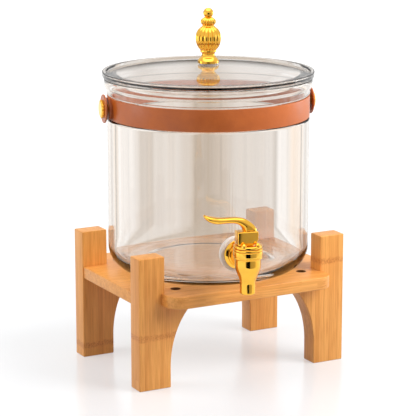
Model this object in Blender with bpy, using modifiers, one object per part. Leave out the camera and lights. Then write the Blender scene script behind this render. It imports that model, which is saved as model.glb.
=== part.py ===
"""Glass drink dispenser on a bamboo stand, with a lift-off lid and a flip-lever tap.

Metres, +Z up. The stand is squared to X and Y, with its feet on Z = 0. The jar stands between
the four posts, turned a little about its own axis, so its tap looks past the front of the stand.
The origin is at the middle of the whole object's footprint.

The tap is a working valve. A spring holds the plug on its seat. The heel of the lever is an
involute about the pivot pin, so the stem rises in proportion to the lever's angle, and its flat
side holds the valve open once the lever stands upright.
"""

import math

import bmesh
import bpy
from mathutils import Matrix

MM = 0.001

# Clearances
SEAT_GAP = 0.3 * MM
OVERRUN = 4 * MM
MERGE_DISTANCE = 0.001 * MM

# Stand, whose posts stand round the jar
POST_CLEARANCE = 2.2375 * MM
POST_BEARING = math.radians(32.213)
POST_WIDTH = 27 * MM
LEG_THICKNESS = 19 * MM
LEG_HEIGHT = 130 * MM
FOOT_WIDTH = 33.5 * MM
ARCH_START = 20 * MM
ARCH_RISE = 72 * MM
ARCH_RUN = 52 * MM
BRACKET_LIP = 2 * MM
ARCH_POINTS = 10
SHELF_TOP = 94.5 * MM
SHELF_THICKNESS = 12 * MM
SHELF_SIDE_INSET = 1 * MM
EAR_REACH = 22.5 * MM
EAR_LAP = 3.6 * MM
EAR_CORNER_RADIUS = 16 * MM
CORNER_POINTS = 6
WOOD_ROUNDING = 1 * MM

# Shelf screws
SCREW_FROM_POST = 16.5 * MM
COUNTERBORE_RADIUS = 4.75 * MM
COUNTERBORE_DEPTH = 6 * MM
SCREW_HEAD_RADIUS = 4.1 * MM
SCREW_HEAD_HEIGHT = 2.8 * MM
SCREW_RADIUS = 1.9 * MM
SCREW_BITE = 12 * MM
SCREW_POINT = 4 * MM

# Jar
JAR_RADIUS = 100 * MM
JAR_WALL = 5 * MM
JAR_HEIGHT = 191.5 * MM
JAR_TURN = math.radians(-12.5)
OUTER_CORNER_RADIUS = 24 * MM
INNER_CORNER_RADIUS = 16 * MM
BASE_THICKNESS = 9 * MM
PUNT_HEIGHT = 2.4 * MM
PUNT_RADIUS = 60 * MM
PUNT_SLOPE = 7 * MM
LIP_RADIUS = 102.7 * MM
LIP_DROP = 4.5 * MM
LIP_FLARE = 6 * MM
LIP_ROUNDING = 2 * MM
FLARE_POINTS = 2
MOUTH_FLARE = 1 * MM
MOUTH_FLARE_HEIGHT = 7 * MM
GLASS_STEPS = 40

# Leather strap
STRAP_HEIGHT = 21.2 * MM
STRAP_THICKNESS = 1.9 * MM
STRAP_DROP = 17.2 * MM
GROOVE_DEPTH = 2.4 * MM
GROOVE_MARGIN = 0.5 * MM
GROOVE_SLOPE = 1.4 * MM
STRAP_POINTS = 21
INNER_DISC_RADIUS = 11 * MM
INNER_DISC_THICKNESS = 1.9 * MM
SPACER_RADIUS = 5 * MM
SPACER_LENGTH = 2.1 * MM
OUTER_DISC_RADIUS = 14 * MM
OUTER_DISC_THICKNESS = 1.8 * MM
STUD_RADIUS = 8.8 * MM
STUD_HEIGHT = 2.6 * MM
STUD_EDGE = 0.8 * MM
STUD_SHANK_RADIUS = 2 * MM
STUD_BACK_RADIUS = 5.5 * MM
STUD_BACK_THICKNESS = 0.7 * MM
LEATHER_ROUNDING = 0.5 * MM

# Lid
LID_RADIUS = 104.2 * MM
LID_RIM_HEIGHT = 5.9 * MM
LID_RIM_WIDTH = 6.5 * MM
LID_RIM_ROUNDING = 1.3 * MM
LID_RISE = 11.6 * MM
LID_DISH = 2.8 * MM
LID_THICKNESS = 4.2 * MM
LID_BORE_RADIUS = 3.3 * MM
SKIRT_CLEARANCE = 0.8 * MM
SKIRT_WIDTH = 3.6 * MM
SKIRT_DEPTH = 5.4 * MM
SKIRT_ROUNDING = 0.8 * MM
DOME_POINTS = 5

# Knob
KNOB_HEIGHT = 53.7 * MM
KNOB_TURN = math.radians(6.7)
KNOB_BASE_RADIUS = 10.4 * MM
KNOB_EGG_RADIUS = 12.6 * MM
KNOB_BULB_RADIUS = 7.6 * MM
KNOB_BALL_RADIUS = 5 * MM
KNOB_RIBS = 16
KNOB_STEPS_PER_RIB = 3
EGG_RIB_DEPTH_share = 0.085
BULB_RIB_DEPTH_share = 0.11
KNOB_THREAD_RADIUS = 2 * MM
KNOB_THREAD_DEPTH = 14 * MM
KNOB_WASHER_RADIUS = 9 * MM
KNOB_WASHER_THICKNESS = 0.8 * MM
KNOB_SCREW_HEAD_RADIUS = 5.4 * MM
KNOB_SCREW_HEAD_HEIGHT = 3 * MM

# Tap, measured from the inlet's axis and outwards from the tap's upright axis
INLET_HEIGHT = 36.5 * MM
TAP_FROM_JAR = 35 * MM
TAP_REACH = JAR_RADIUS + TAP_FROM_JAR
BARREL_RADIUS = 12.2 * MM
HEAD_RADIUS = 13.9 * MM
HEAD_BOTTOM = 4.4 * MM
HEAD_TOP = 11.3 * MM
BARREL_TAPER_TOP = -5 * MM
BARREL_TAPER_BOTTOM = -18.5 * MM
SPOUT_RADIUS = 7.4 * MM
SPOUT_BOTTOM = -30.3 * MM
SPOUT_BORE_RADIUS = 5 * MM
TAPER_POINTS = 6
CHAMBER_RADIUS = 8.6 * MM
SEAT_HEIGHT = -7.5 * MM
SEAT_THICKNESS = 2.2 * MM
PORT_RADIUS = 4.2 * MM
INLET_BORE_RADIUS = 4.5 * MM
INLET_NECK_RADIUS = 9 * MM
COLLAR_RADIUS = 10.5 * MM
COLLAR_THICKNESS = 3 * MM
SHANK_RADIUS = 7.5 * MM
SHANK_INSIDE_LENGTH = 14 * MM
SHANK_HOLE_CLEARANCE = 0.7 * MM
FLANGE_RADIUS = 14 * MM
FLANGE_THICKNESS = 2.9 * MM
GASKET_RADIUS = 17.5 * MM
GASKET_THICKNESS = 3.7 * MM
GASKET_ROUNDING = 0.9 * MM
INNER_GASKET_RADIUS = 11 * MM
INNER_GASKET_THICKNESS = 4.2 * MM
NUT_RADIUS = 14 * MM
NUT_THICKNESS = 4 * MM
METAL_CHAMFER = 0.6 * MM
TAP_STEPS = 24

# Bonnet, gland and valve
BONNET_FLANGE = 2.2 * MM
BONNET_THREAD_RADIUS = 10 * MM
BONNET_THREAD_LENGTH = 3.2 * MM
STEM_RADIUS = 2.2 * MM
STEM_CLEARANCE = 0.4 * MM
GLAND_RADIUS = 4.1 * MM
GLAND_WASHER_RADIUS = 7.4 * MM
GLAND_WASHER_THICKNESS = 0.8 * MM
PLUG_RADIUS = 6.2 * MM
PLUG_THICKNESS = 2.8 * MM
PLUG_NOSE = 2 * MM
PLUG_NOSE_RADIUS = 3 * MM
STEM_COLLAR_RADIUS = 6 * MM
STEM_COLLAR_THICKNESS = 1.2 * MM
SPRING_RADIUS = 4.9 * MM
SPRING_WIRE_RADIUS = 0.4 * MM
SPRING_TURNS = 4
SPRING_POINTS_PER_TURN = 8

# Turning washer under the lever
WASHER_RADIUS = 13.4 * MM
WASHER_THICKNESS = 2.6 * MM
LUG_RADIUS = 1.9 * MM
LUG_HEIGHT = 3 * MM
LUG_SPACING_X = 15 * MM

# Lever
HEEL_REST = 5 * MM
HEEL_OPEN = 8.4 * MM
HEEL_BACK = 11.1 * MM
HEEL_TOP = 7.8 * MM
HEEL_DEPTH = 13.2 * MM
HEEL_ROUNDING = 0.7 * MM
HEEL_POINTS = 8
OPEN_ANGLE = math.radians(90)
PIN_RADIUS = 1.4 * MM
PIN_RECESS = 0.6 * MM
PIN_COVER = 1.4 * MM
EYE_RADIUS = 3.5 * MM
EYE_THICKNESS = 5 * MM
LEVER_REACH = 42 * MM
LEVER_RISE = 24.2 * MM
LEVER_WIDTH = 12 * MM
LEVER_STEPS_BETWEEN = 2
LEVER_RING_POINTS = 10
POCKET_DEPTH = 2.4 * MM

# Along the lever from its root to its tip: the top edge's reach and rise, the bottom edge's reach
# and rise, and the width. Reach is a share of LEVER_REACH, rise of LEVER_RISE above the pin,
# and width of LEVER_WIDTH.
LEVER_STATION_shares = (
    (0.195, 0.124, -0.133, 0.083, 1.03),
    (0.195, 0.289, -0.129, 0.314, 1.02),
    (0.148, 0.413, -0.124, 0.426, 0.99),
    (0.062, 0.554, -0.157, 0.529, 0.94),
    (-0.038, 0.678, -0.214, 0.616, 0.88),
    (-0.155, 0.773, -0.286, 0.657, 0.82),
    (-0.324, 0.826, -0.369, 0.682, 0.77),
    (-0.500, 0.824, -0.514, 0.698, 0.80),
    (-0.671, 0.831, -0.674, 0.700, 0.96),
    (-0.843, 0.905, -0.826, 0.760, 1.14),
    (-0.943, 0.982, -0.919, 0.835, 1.06),
    (-0.990, 1.000, -0.975, 0.900, 0.62),
)

# Side pocket of the lever's root, as shares of LEVER_REACH and LEVER_RISE
POCKET_shares = (
    (-0.070, 0.345),
    (-0.080, 0.440),
    (-0.115, 0.530),
    (-0.150, 0.595),
    (-0.060, 0.610),
    (0.035, 0.515),
    (0.110, 0.400),
    (0.130, 0.345),
)

# Turned outline of the knob: height share of KNOB_HEIGHT, then radius as a share of the named
# radius that it follows
KNOB_FOOT_shares = (
    (0.000, 1.00), (0.042, 1.00), (0.062, 0.93), (0.088, 0.82), (0.114, 0.68),
    (0.154, 0.61), (0.186, 0.65), (0.200, 0.76), (0.226, 0.76),
)
KNOB_EGG_shares = (
    (0.240, 0.64), (0.285, 0.80), (0.355, 0.94), (0.443, 1.00), (0.535, 0.95),
    (0.610, 0.77), (0.664, 0.50),
)
KNOB_BULB_shares = (
    (0.686, 0.76), (0.718, 0.94), (0.750, 1.00), (0.786, 0.91), (0.830, 0.52),
)
KNOB_BALL_POINTS = 5
KNOB_NECK_share = 0.68

# Derived places, each from the sizes above
SHELF_BOTTOM = SHELF_TOP - SHELF_THICKNESS
POST_INNER_X = (JAR_RADIUS + POST_CLEARANCE) * math.cos(POST_BEARING)
POST_INNER_Y = (JAR_RADIUS + POST_CLEARANCE) * math.sin(POST_BEARING)
STAND_WIDTH = 2 * (POST_INNER_X + POST_WIDTH)
STAND_DEPTH = 2 * (POST_INNER_Y + LEG_THICKNESS)
SCREW_X = POST_INNER_X - SCREW_FROM_POST
LEG_CENTRE_Y = (STAND_DEPTH - LEG_THICKNESS) / 2
JAR_BASE = SHELF_TOP + SEAT_GAP
JAR_INNER_RADIUS = JAR_RADIUS - JAR_WALL
GROOVE_RADIUS = JAR_RADIUS - GROOVE_DEPTH
STRAP_INNER_RADIUS = GROOVE_RADIUS + SEAT_GAP
STRAP_OUTER_RADIUS = STRAP_INNER_RADIUS + STRAP_THICKNESS
STRAP_BOTTOM = JAR_HEIGHT - STRAP_DROP - STRAP_HEIGHT
STRAP_MIDDLE = STRAP_BOTTOM + STRAP_HEIGHT / 2
STUD_HOLE_RADIUS = STUD_SHANK_RADIUS + SEAT_GAP
INNER_DISC_FACE = STRAP_OUTER_RADIUS + SEAT_GAP + INNER_DISC_THICKNESS
SPACER_FACE = INNER_DISC_FACE + SEAT_GAP + SPACER_LENGTH
OUTER_DISC_FACE = SPACER_FACE + SEAT_GAP + OUTER_DISC_THICKNESS
STUD_FACE = OUTER_DISC_FACE + SEAT_GAP + STUD_HEIGHT
LID_SEAT = JAR_HEIGHT + SEAT_GAP
LID_RIM_TOP = LID_SEAT + LID_RIM_HEIGHT
LID_TOP = LID_SEAT + LID_RISE
LID_CENTRE_UNDER = LID_TOP - LID_THICKNESS
DOME_EDGE_RADIUS = LID_RADIUS - LID_RIM_WIDTH
DOME_DROP = LID_TOP - (LID_RIM_TOP - LID_DISH)
DOME_SPHERE_RADIUS = (DOME_EDGE_RADIUS**2 + DOME_DROP**2) / (2 * DOME_DROP)
SKIRT_RADIUS = JAR_INNER_RADIUS - SKIRT_CLEARANCE
SKIRT_INNER_RADIUS = SKIRT_RADIUS - SKIRT_WIDTH
KNOB_WASHER_BOTTOM = LID_TOP + SEAT_GAP
KNOB_BOTTOM = KNOB_WASHER_BOTTOM + KNOB_WASHER_THICKNESS + SEAT_GAP
UNDER_WASHER_TOP = LID_CENTRE_UNDER - SEAT_GAP
KNOB_SCREW_HEAD_TOP = UNDER_WASHER_TOP - KNOB_WASHER_THICKNESS - SEAT_GAP
KNOB_SCREW_TOP = KNOB_BOTTOM + KNOB_THREAD_DEPTH - 4 * SEAT_GAP

GASKET_FACE = JAR_RADIUS + SEAT_GAP + GASKET_THICKNESS
FLANGE_FACE = GASKET_FACE + SEAT_GAP + FLANGE_THICKNESS
COLLAR_BACK = FLANGE_FACE + SEAT_GAP
COLLAR_FRONT = COLLAR_BACK + COLLAR_THICKNESS
SHANK_END = JAR_INNER_RADIUS - SHANK_INSIDE_LENGTH
SHANK_BORE_RADIUS = SHANK_RADIUS + SEAT_GAP
INNER_GASKET_FACE = JAR_INNER_RADIUS - SEAT_GAP - INNER_GASKET_THICKNESS
NUT_FACE = INNER_GASKET_FACE - SEAT_GAP
STEM_BORE_RADIUS = STEM_RADIUS + STEM_CLEARANCE
FLANGE_UNDER = HEAD_TOP + SEAT_GAP
BONNET_TOP = FLANGE_UNDER + BONNET_FLANGE
CEILING_UNDER = FLANGE_UNDER - BONNET_THREAD_LENGTH
THREAD_FLOOR = CEILING_UNDER - SEAT_GAP
THREAD_BORE_RADIUS = BONNET_THREAD_RADIUS + SEAT_GAP
GLAND_WASHER_TOP = CEILING_UNDER - SEAT_GAP
GLAND_WASHER_BOTTOM = GLAND_WASHER_TOP - GLAND_WASHER_THICKNESS
O_RING_RADIUS = (STEM_RADIUS + GLAND_RADIUS) / 2
O_RING_SECTION = (GLAND_RADIUS - STEM_RADIUS) / 2 - SEAT_GAP
GLAND_TOP = CEILING_UNDER + 2 * O_RING_SECTION + SEAT_GAP
PLUG_BOTTOM = SEAT_HEIGHT + SEAT_GAP
PLUG_TOP = PLUG_BOTTOM + PLUG_THICKNESS
STEM_COLLAR_BOTTOM = PLUG_TOP + SEAT_GAP
STEM_COLLAR_TOP = STEM_COLLAR_BOTTOM + STEM_COLLAR_THICKNESS
STEM_BOTTOM = PLUG_BOTTOM + SEAT_GAP + PLUG_THICKNESS / 3
SPRING_BOTTOM = STEM_COLLAR_TOP + SEAT_GAP
SPRING_TOP = GLAND_WASHER_BOTTOM - SEAT_GAP
WASHER_BOTTOM = BONNET_TOP + SEAT_GAP
WASHER_TOP = WASHER_BOTTOM + WASHER_THICKNESS
PIVOT_HEIGHT = WASHER_TOP + SEAT_GAP + HEEL_REST
HEEL_LIFT_PER_RADIAN = (HEEL_OPEN - HEEL_REST) / OPEN_ANGLE
PIN_HOLE_RADIUS = PIN_RADIUS + SEAT_GAP
SLOT_WIDTH = EYE_THICKNESS + 2 * SEAT_GAP
SLOT_REACH = EYE_RADIUS + SEAT_GAP
LUG_SPACING_Y = HEEL_DEPTH + 2 * LUG_RADIUS + 2 * SEAT_GAP

# The tap reaches further forward than the lid reaches back, so the footprint's middle is ahead
# of the jar's axis.
FRONT_EXTENT = TAP_REACH * math.cos(JAR_TURN) + HEAD_RADIUS
BACK_EXTENT = LID_RADIUS
FRAME_SHIFT_Y = (FRONT_EXTENT - BACK_EXTENT) / 2

SHARP_ANGLE = math.radians(35)
FLAT_ANGLE = math.radians(0.5)
BEVEL_ANGLE = math.radians(40)
QUARTER = math.radians(90)
DETAIL_STEPS = 12
BORE_STEPS = 16


def clear_scene():
    for obj in list(bpy.data.objects):
        bpy.data.objects.remove(obj, do_unlink=True)


def new_collection(name):
    collection = bpy.data.collections.new(name)
    bpy.context.scene.collection.children.link(collection)
    return collection


def new_material(name, colour, roughness, metallic=0.0, transmission=0.0):
    material = bpy.data.materials.new(name)
    material.use_nodes = True
    shader = material.node_tree.nodes["Principled BSDF"]
    shader.inputs["Base Color"].default_value = (*colour, 1.0)
    shader.inputs["Roughness"].default_value = roughness
    shader.inputs["Metallic"].default_value = metallic
    shader.inputs["Transmission Weight"].default_value = transmission
    material.diffuse_color = (*colour, 1.0)
    return material


def new_empty(name, location, parent=None, turn=0.0):
    empty = bpy.data.objects.new(name, None)
    PARTS.objects.link(empty)
    empty.parent = parent
    empty.location = location
    empty.rotation_euler = (0, 0, turn)
    return empty


def place(obj, parent, location=(0, 0, 0), rotation=(0, 0, 0)):
    obj.parent = parent
    obj.location = location
    obj.rotation_euler = rotation
    return obj


def add_object(name, mesh, material):
    """A part of the model when it has a material, and otherwise a hidden cutter."""
    obj = bpy.data.objects.new(name, mesh)
    if material is None:
        CUTTERS.objects.link(obj)
        obj.hide_render = True
        obj.display_type = "WIRE"
    else:
        PARTS.objects.link(obj)
        mesh.materials.clear()
        finish = material.copy()
        finish.name = f"{name}_{material.name}"
        mesh.materials.append(finish)
    return obj


def smooth(mesh):
    mesh.shade_smooth()
    mesh.set_sharp_from_angle(angle=SHARP_ANGLE)


def arc(centre_r, centre_z, radius, start, end, count):
    """Points on an arc, with its angles in degrees from +r towards +z."""
    points = []
    for i in range(count):
        angle = math.radians(start + (end - start) * i / (count - 1))
        points.append((centre_r + radius * math.cos(angle), centre_z + radius * math.sin(angle)))
    return points


def turned(name, profile, material, steps=TAP_STEPS):
    """A turned solid from (radius, height) points, ending on the axis or closing on themselves."""
    profile = [point for i, point in enumerate(profile) if math.dist(point, profile[i - 1]) > MERGE_DISTANCE]
    area = 0.0
    for (r0, z0), (r1, z1) in zip(profile, profile[1:] + profile[:1]):
        area += r0 * z1 - r1 * z0
    outward = profile if area < 0 else profile[::-1]
    mesh = bpy.data.meshes.new(name)
    edges = [(i, i + 1) for i in range(len(outward) - 1)]
    if min(outward[0][0], outward[-1][0]) > 0:
        edges.append((len(outward) - 1, 0))
    mesh.from_pydata([(r, 0, z) for r, z in outward], edges, [])
    obj = add_object(name, mesh, material)
    screw = obj.modifiers.new("Turn", "SCREW")
    screw.axis = "Z"
    screw.steps = steps
    screw.render_steps = steps
    screw.use_merge_vertices = True
    screw.merge_threshold = MERGE_DISTANCE
    screw.use_smooth_shade = True
    return obj


def as_mesh(curve_object, material):
    """The curve object's solid as a welded mesh object, with the curve removed."""
    bpy.context.view_layer.update()
    graph = bpy.context.evaluated_depsgraph_get()
    mesh = bpy.data.meshes.new_from_object(curve_object.evaluated_get(graph))
    welder = bmesh.new()
    welder.from_mesh(mesh)
    bmesh.ops.remove_doubles(welder, verts=welder.verts, dist=MERGE_DISTANCE)
    bmesh.ops.recalc_face_normals(welder, faces=welder.faces)
    welder.to_mesh(mesh)
    welder.free()
    mesh.materials.clear()
    name = curve_object.name
    bpy.data.objects.remove(curve_object, do_unlink=True)
    mesh.name = name
    return add_object(name, mesh, material)


def plate(name, outline, thickness, material):
    """A flat outline in XY, thickened evenly about its plane."""
    curve = bpy.data.curves.new(name, "CURVE")
    curve.dimensions = "2D"
    curve.fill_mode = "BOTH"
    curve.extrude = thickness / 2
    spline = curve.splines.new("POLY")
    spline.points.add(len(outline) - 1)
    for point, (x, y) in zip(spline.points, outline):
        point.co = (x, y, 0, 1)
    spline.use_cyclic_u = True
    obj = bpy.data.objects.new(name, curve)
    PARTS.objects.link(obj)
    solid = as_mesh(obj, material)
    flat = bmesh.new()
    flat.from_mesh(solid.data)
    bmesh.ops.dissolve_limit(flat, angle_limit=FLAT_ANGLE, verts=flat.verts, edges=flat.edges)
    flat.to_mesh(solid.data)
    flat.free()
    return solid


def bevel(obj, width, segments=1):
    """Breaks the sharp outer edges only, so that inner corners stay square for what seats in them."""
    marked = bmesh.new()
    marked.from_mesh(obj.data)
    weight = marked.edges.layers.float.new("bevel_weight_edge")
    for edge in marked.edges:
        if edge.is_convex and edge.calc_face_angle() > BEVEL_ANGLE:
            edge[weight] = 1
    marked.to_mesh(obj.data)
    marked.free()
    modifier = obj.modifiers.new("Rounded edges", "BEVEL")
    modifier.width = width
    modifier.segments = segments
    modifier.limit_method = "WEIGHT"
    return obj


def combine(target, other, operation="DIFFERENCE"):
    modifier = target.modifiers.new(operation.title(), "BOOLEAN")
    modifier.operation = operation
    modifier.solver = "EXACT"
    modifier.object = other


def cylinder(name, radius, start, end, material=None, steps=TAP_STEPS):
    """A plain cylinder along Z from start to end."""
    mesh = bpy.data.meshes.new(name)
    shape = bmesh.new()
    bmesh.ops.create_cone(
        shape, cap_ends=True, segments=steps, radius1=radius, radius2=radius, depth=end - start,
        matrix=Matrix.Translation((0, 0, (start + end) / 2)),
    )
    shape.to_mesh(mesh)
    shape.free()
    smooth(mesh)
    return add_object(name, mesh, material)


def box(name, low, high, material=None):
    mesh = bpy.data.meshes.new(name)
    shape = bmesh.new()
    size = [b - a for a, b in zip(low, high)]
    middle = [(a + b) / 2 for a, b in zip(low, high)]
    bmesh.ops.create_cube(shape, size=1, matrix=Matrix.Translation(middle) @ Matrix.Diagonal((*size, 1)))
    shape.to_mesh(mesh)
    shape.free()
    return add_object(name, mesh, material)


def ring_profile(bore, radius, bottom, top, chamfer):
    """A washer's section with the outer edge of its face chamfered."""
    return [
        (bore, top),
        (radius - chamfer, top),
        (radius, top - chamfer),
        (radius, bottom),
        (bore, bottom),
    ]


def screw_hole_cutter(name, parent, x, y):
    """The counterbore, the clearance hole and the bite into the leg, as one stepped cutter."""
    hole = SCREW_RADIUS + SEAT_GAP
    floor = SHELF_TOP - COUNTERBORE_DEPTH
    bottom = SHELF_BOTTOM - SCREW_BITE - SEAT_GAP
    profile = [
        (0, SHELF_TOP + OVERRUN),
        (COUNTERBORE_RADIUS, SHELF_TOP + OVERRUN),
        (COUNTERBORE_RADIUS, floor),
        (hole, floor),
        (hole, bottom),
        (0, bottom),
    ]
    return place(turned(name, profile, None, DETAIL_STEPS), parent, (x, y, 0))


def build_shelf(frame):
    """A tray between the legs' outer faces, with round-cornered ears in front and behind.

    The corners of the ears' plate are cut away where the posts pass.
    """
    middle = (0, 0, (SHELF_TOP + SHELF_BOTTOM) / 2)
    ear_x = POST_INNER_X + EAR_LAP
    ear_y = STAND_DEPTH / 2 + EAR_REACH
    corner_x = ear_x - EAR_CORNER_RADIUS
    corner_y = ear_y - EAR_CORNER_RADIUS
    outline = []
    for x_side, y_side, start in ((1, 1, 0), (-1, 1, 90), (-1, -1, 180), (1, -1, 270)):
        outline += arc(
            x_side * corner_x, y_side * corner_y, EAR_CORNER_RADIUS, start, start + 90, CORNER_POINTS
        )
    shelf = place(plate("shelf", outline, SHELF_THICKNESS, BAMBOO), frame, middle)
    side = STAND_WIDTH / 2 - SHELF_SIDE_INSET
    notch_back = POST_INNER_Y - SEAT_GAP
    sides = box(
        "join_shelf_sides",
        (-side, -notch_back, -SHELF_THICKNESS / 2),
        (side, notch_back, SHELF_THICKNESS / 2),
    )
    place(sides, frame, middle)
    for plank in (shelf, sides):
        smooth(plank.data)
        bevel(plank, WOOD_ROUNDING)
    combine(shelf, sides, "UNION")
    notch_x = POST_INNER_X - SEAT_GAP
    notch_front = STAND_DEPTH / 2 + SEAT_GAP
    for y_side, depth_name in ((-1, "front"), (1, "back")):
        for x_side, width_name in ((-1, "left"), (1, "right")):
            xs = sorted((x_side * notch_x, x_side * (side + OVERRUN)))
            ys = sorted((y_side * notch_back, y_side * notch_front))
            notch = box(
                f"cut_notch_{depth_name}_{width_name}",
                (xs[0], ys[0], -SHELF_THICKNESS),
                (xs[1], ys[1], SHELF_THICKNESS),
            )
            combine(shelf, place(notch, frame, middle))
    return shelf


def leg_outline(side):
    """One leg from the front: the post, the shoulder under the shelf and the arched bracket."""
    outer = STAND_WIDTH / 2
    under_shelf = SHELF_BOTTOM - SEAT_GAP
    arch_centre = outer - FOOT_WIDTH - ARCH_RUN
    arch_end = math.asin((under_shelf - BRACKET_LIP - ARCH_START) / ARCH_RISE)
    points = [(outer, 0), (outer, LEG_HEIGHT), (POST_INNER_X, LEG_HEIGHT), (POST_INNER_X, under_shelf)]
    arch = []
    for i in range(ARCH_POINTS):
        angle = arch_end * i / (ARCH_POINTS - 1)
        arch.append(
            (arch_centre + ARCH_RUN * math.cos(angle), ARCH_START + ARCH_RISE * math.sin(angle))
        )
    points.append((arch[-1][0], under_shelf))
    points += arch[::-1]
    points.append((outer - FOOT_WIDTH, 0))
    return [(side * x, z) for x, z in points]


def build_stand(frame):
    shelf = build_shelf(frame)
    head_top = SHELF_TOP - COUNTERBORE_DEPTH + SEAT_GAP + SCREW_HEAD_HEIGHT
    head_bottom = head_top - SCREW_HEAD_HEIGHT
    screw_end = SHELF_BOTTOM - SCREW_BITE
    screw_profile = [
        (0, head_top),
        (SCREW_HEAD_RADIUS, head_top),
        (SCREW_HEAD_RADIUS, head_bottom),
        (SCREW_RADIUS, head_bottom),
        (SCREW_RADIUS, screw_end + SCREW_POINT),
        (0, screw_end),
    ]
    for y_side, depth_name in ((-1, "front"), (1, "back")):
        for x_side, width_name in ((-1, "left"), (1, "right")):
            place_name = f"{depth_name}_{width_name}"
            leg = plate(f"leg_{place_name}", leg_outline(x_side), LEG_THICKNESS, BAMBOO)
            place(leg, frame, (0, y_side * LEG_CENTRE_Y, 0), (QUARTER, 0, 0))
            smooth(leg.data)
            bevel(leg, WOOD_ROUNDING)
            x = x_side * SCREW_X
            y = y_side * LEG_CENTRE_Y
            hole = screw_hole_cutter(f"cut_screw_{place_name}", frame, x, y)
            combine(shelf, hole)
            combine(leg, hole)
            screw = turned(f"shelf_screw_{place_name}", screw_profile, STEEL, DETAIL_STEPS)
            place(screw, frame, (x, y, 0))


def jar_profile():
    """From the middle of the floor up the inside, over the lip, down the outside and back under."""
    corner_height = BASE_THICKNESS + INNER_CORNER_RADIUS
    floor_edge = JAR_INNER_RADIUS - INNER_CORNER_RADIUS
    lip_start = JAR_HEIGHT - LIP_DROP
    mouth = JAR_INNER_RADIUS + MOUTH_FLARE
    groove_top = STRAP_BOTTOM + STRAP_HEIGHT + GROOVE_MARGIN
    groove_bottom = STRAP_BOTTOM - GROOVE_MARGIN
    profile = [(0, BASE_THICKNESS)]
    profile += arc(floor_edge, corner_height, INNER_CORNER_RADIUS, -90, 0, 5)
    profile += [
        (JAR_INNER_RADIUS, JAR_HEIGHT - MOUTH_FLARE_HEIGHT),
        (mouth, JAR_HEIGHT - LIP_ROUNDING),
    ]
    profile += arc(mouth + LIP_ROUNDING, JAR_HEIGHT - LIP_ROUNDING, LIP_ROUNDING, 135, 90, 2)
    profile += arc(LIP_RADIUS - LIP_ROUNDING, JAR_HEIGHT - LIP_ROUNDING, LIP_ROUNDING, 90, 0, 3)
    profile.append((LIP_RADIUS, lip_start))
    for i in range(1, FLARE_POINTS + 1):
        angle = QUARTER * i / FLARE_POINTS
        profile.append(
            (
                JAR_RADIUS + (LIP_RADIUS - JAR_RADIUS) * math.cos(angle),
                lip_start - LIP_FLARE * math.sin(angle),
            )
        )
    profile += [
        (JAR_RADIUS, groove_top + GROOVE_SLOPE),
        (GROOVE_RADIUS, groove_top),
        (GROOVE_RADIUS, groove_bottom),
        (JAR_RADIUS, groove_bottom - GROOVE_SLOPE),
    ]
    profile += arc(JAR_RADIUS - OUTER_CORNER_RADIUS, OUTER_CORNER_RADIUS, OUTER_CORNER_RADIUS, 0, -90, 6)
    profile += [
        (PUNT_RADIUS + PUNT_SLOPE, 0),
        (PUNT_RADIUS, PUNT_HEIGHT),
        (0, PUNT_HEIGHT),
    ]
    return profile


def build_jar(jar_axis):
    jar = place(turned("jar", jar_profile(), GLASS, GLASS_STEPS), jar_axis)
    hole = cylinder(
        "cut_tap_hole", SHANK_RADIUS + SHANK_HOLE_CLEARANCE, JAR_INNER_RADIUS - OVERRUN, JAR_RADIUS + OVERRUN
    )
    place(hole, jar_axis, (0, 0, INLET_HEIGHT), (QUARTER, 0, 0))
    combine(jar, hole)


def strap_outline(side):
    """Half of the band from above, ending just short of the studs' plane."""
    ends = SEAT_GAP / 2 / STRAP_INNER_RADIUS
    outer, inner = [], []
    for i in range(STRAP_POINTS):
        angle = ends + (math.pi - 2 * ends) * i / (STRAP_POINTS - 1)
        outer.append((STRAP_OUTER_RADIUS * math.cos(angle), side * STRAP_OUTER_RADIUS * math.sin(angle)))
        inner.append((STRAP_INNER_RADIUS * math.cos(angle), side * STRAP_INNER_RADIUS * math.sin(angle)))
    return outer + inner[::-1]


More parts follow.
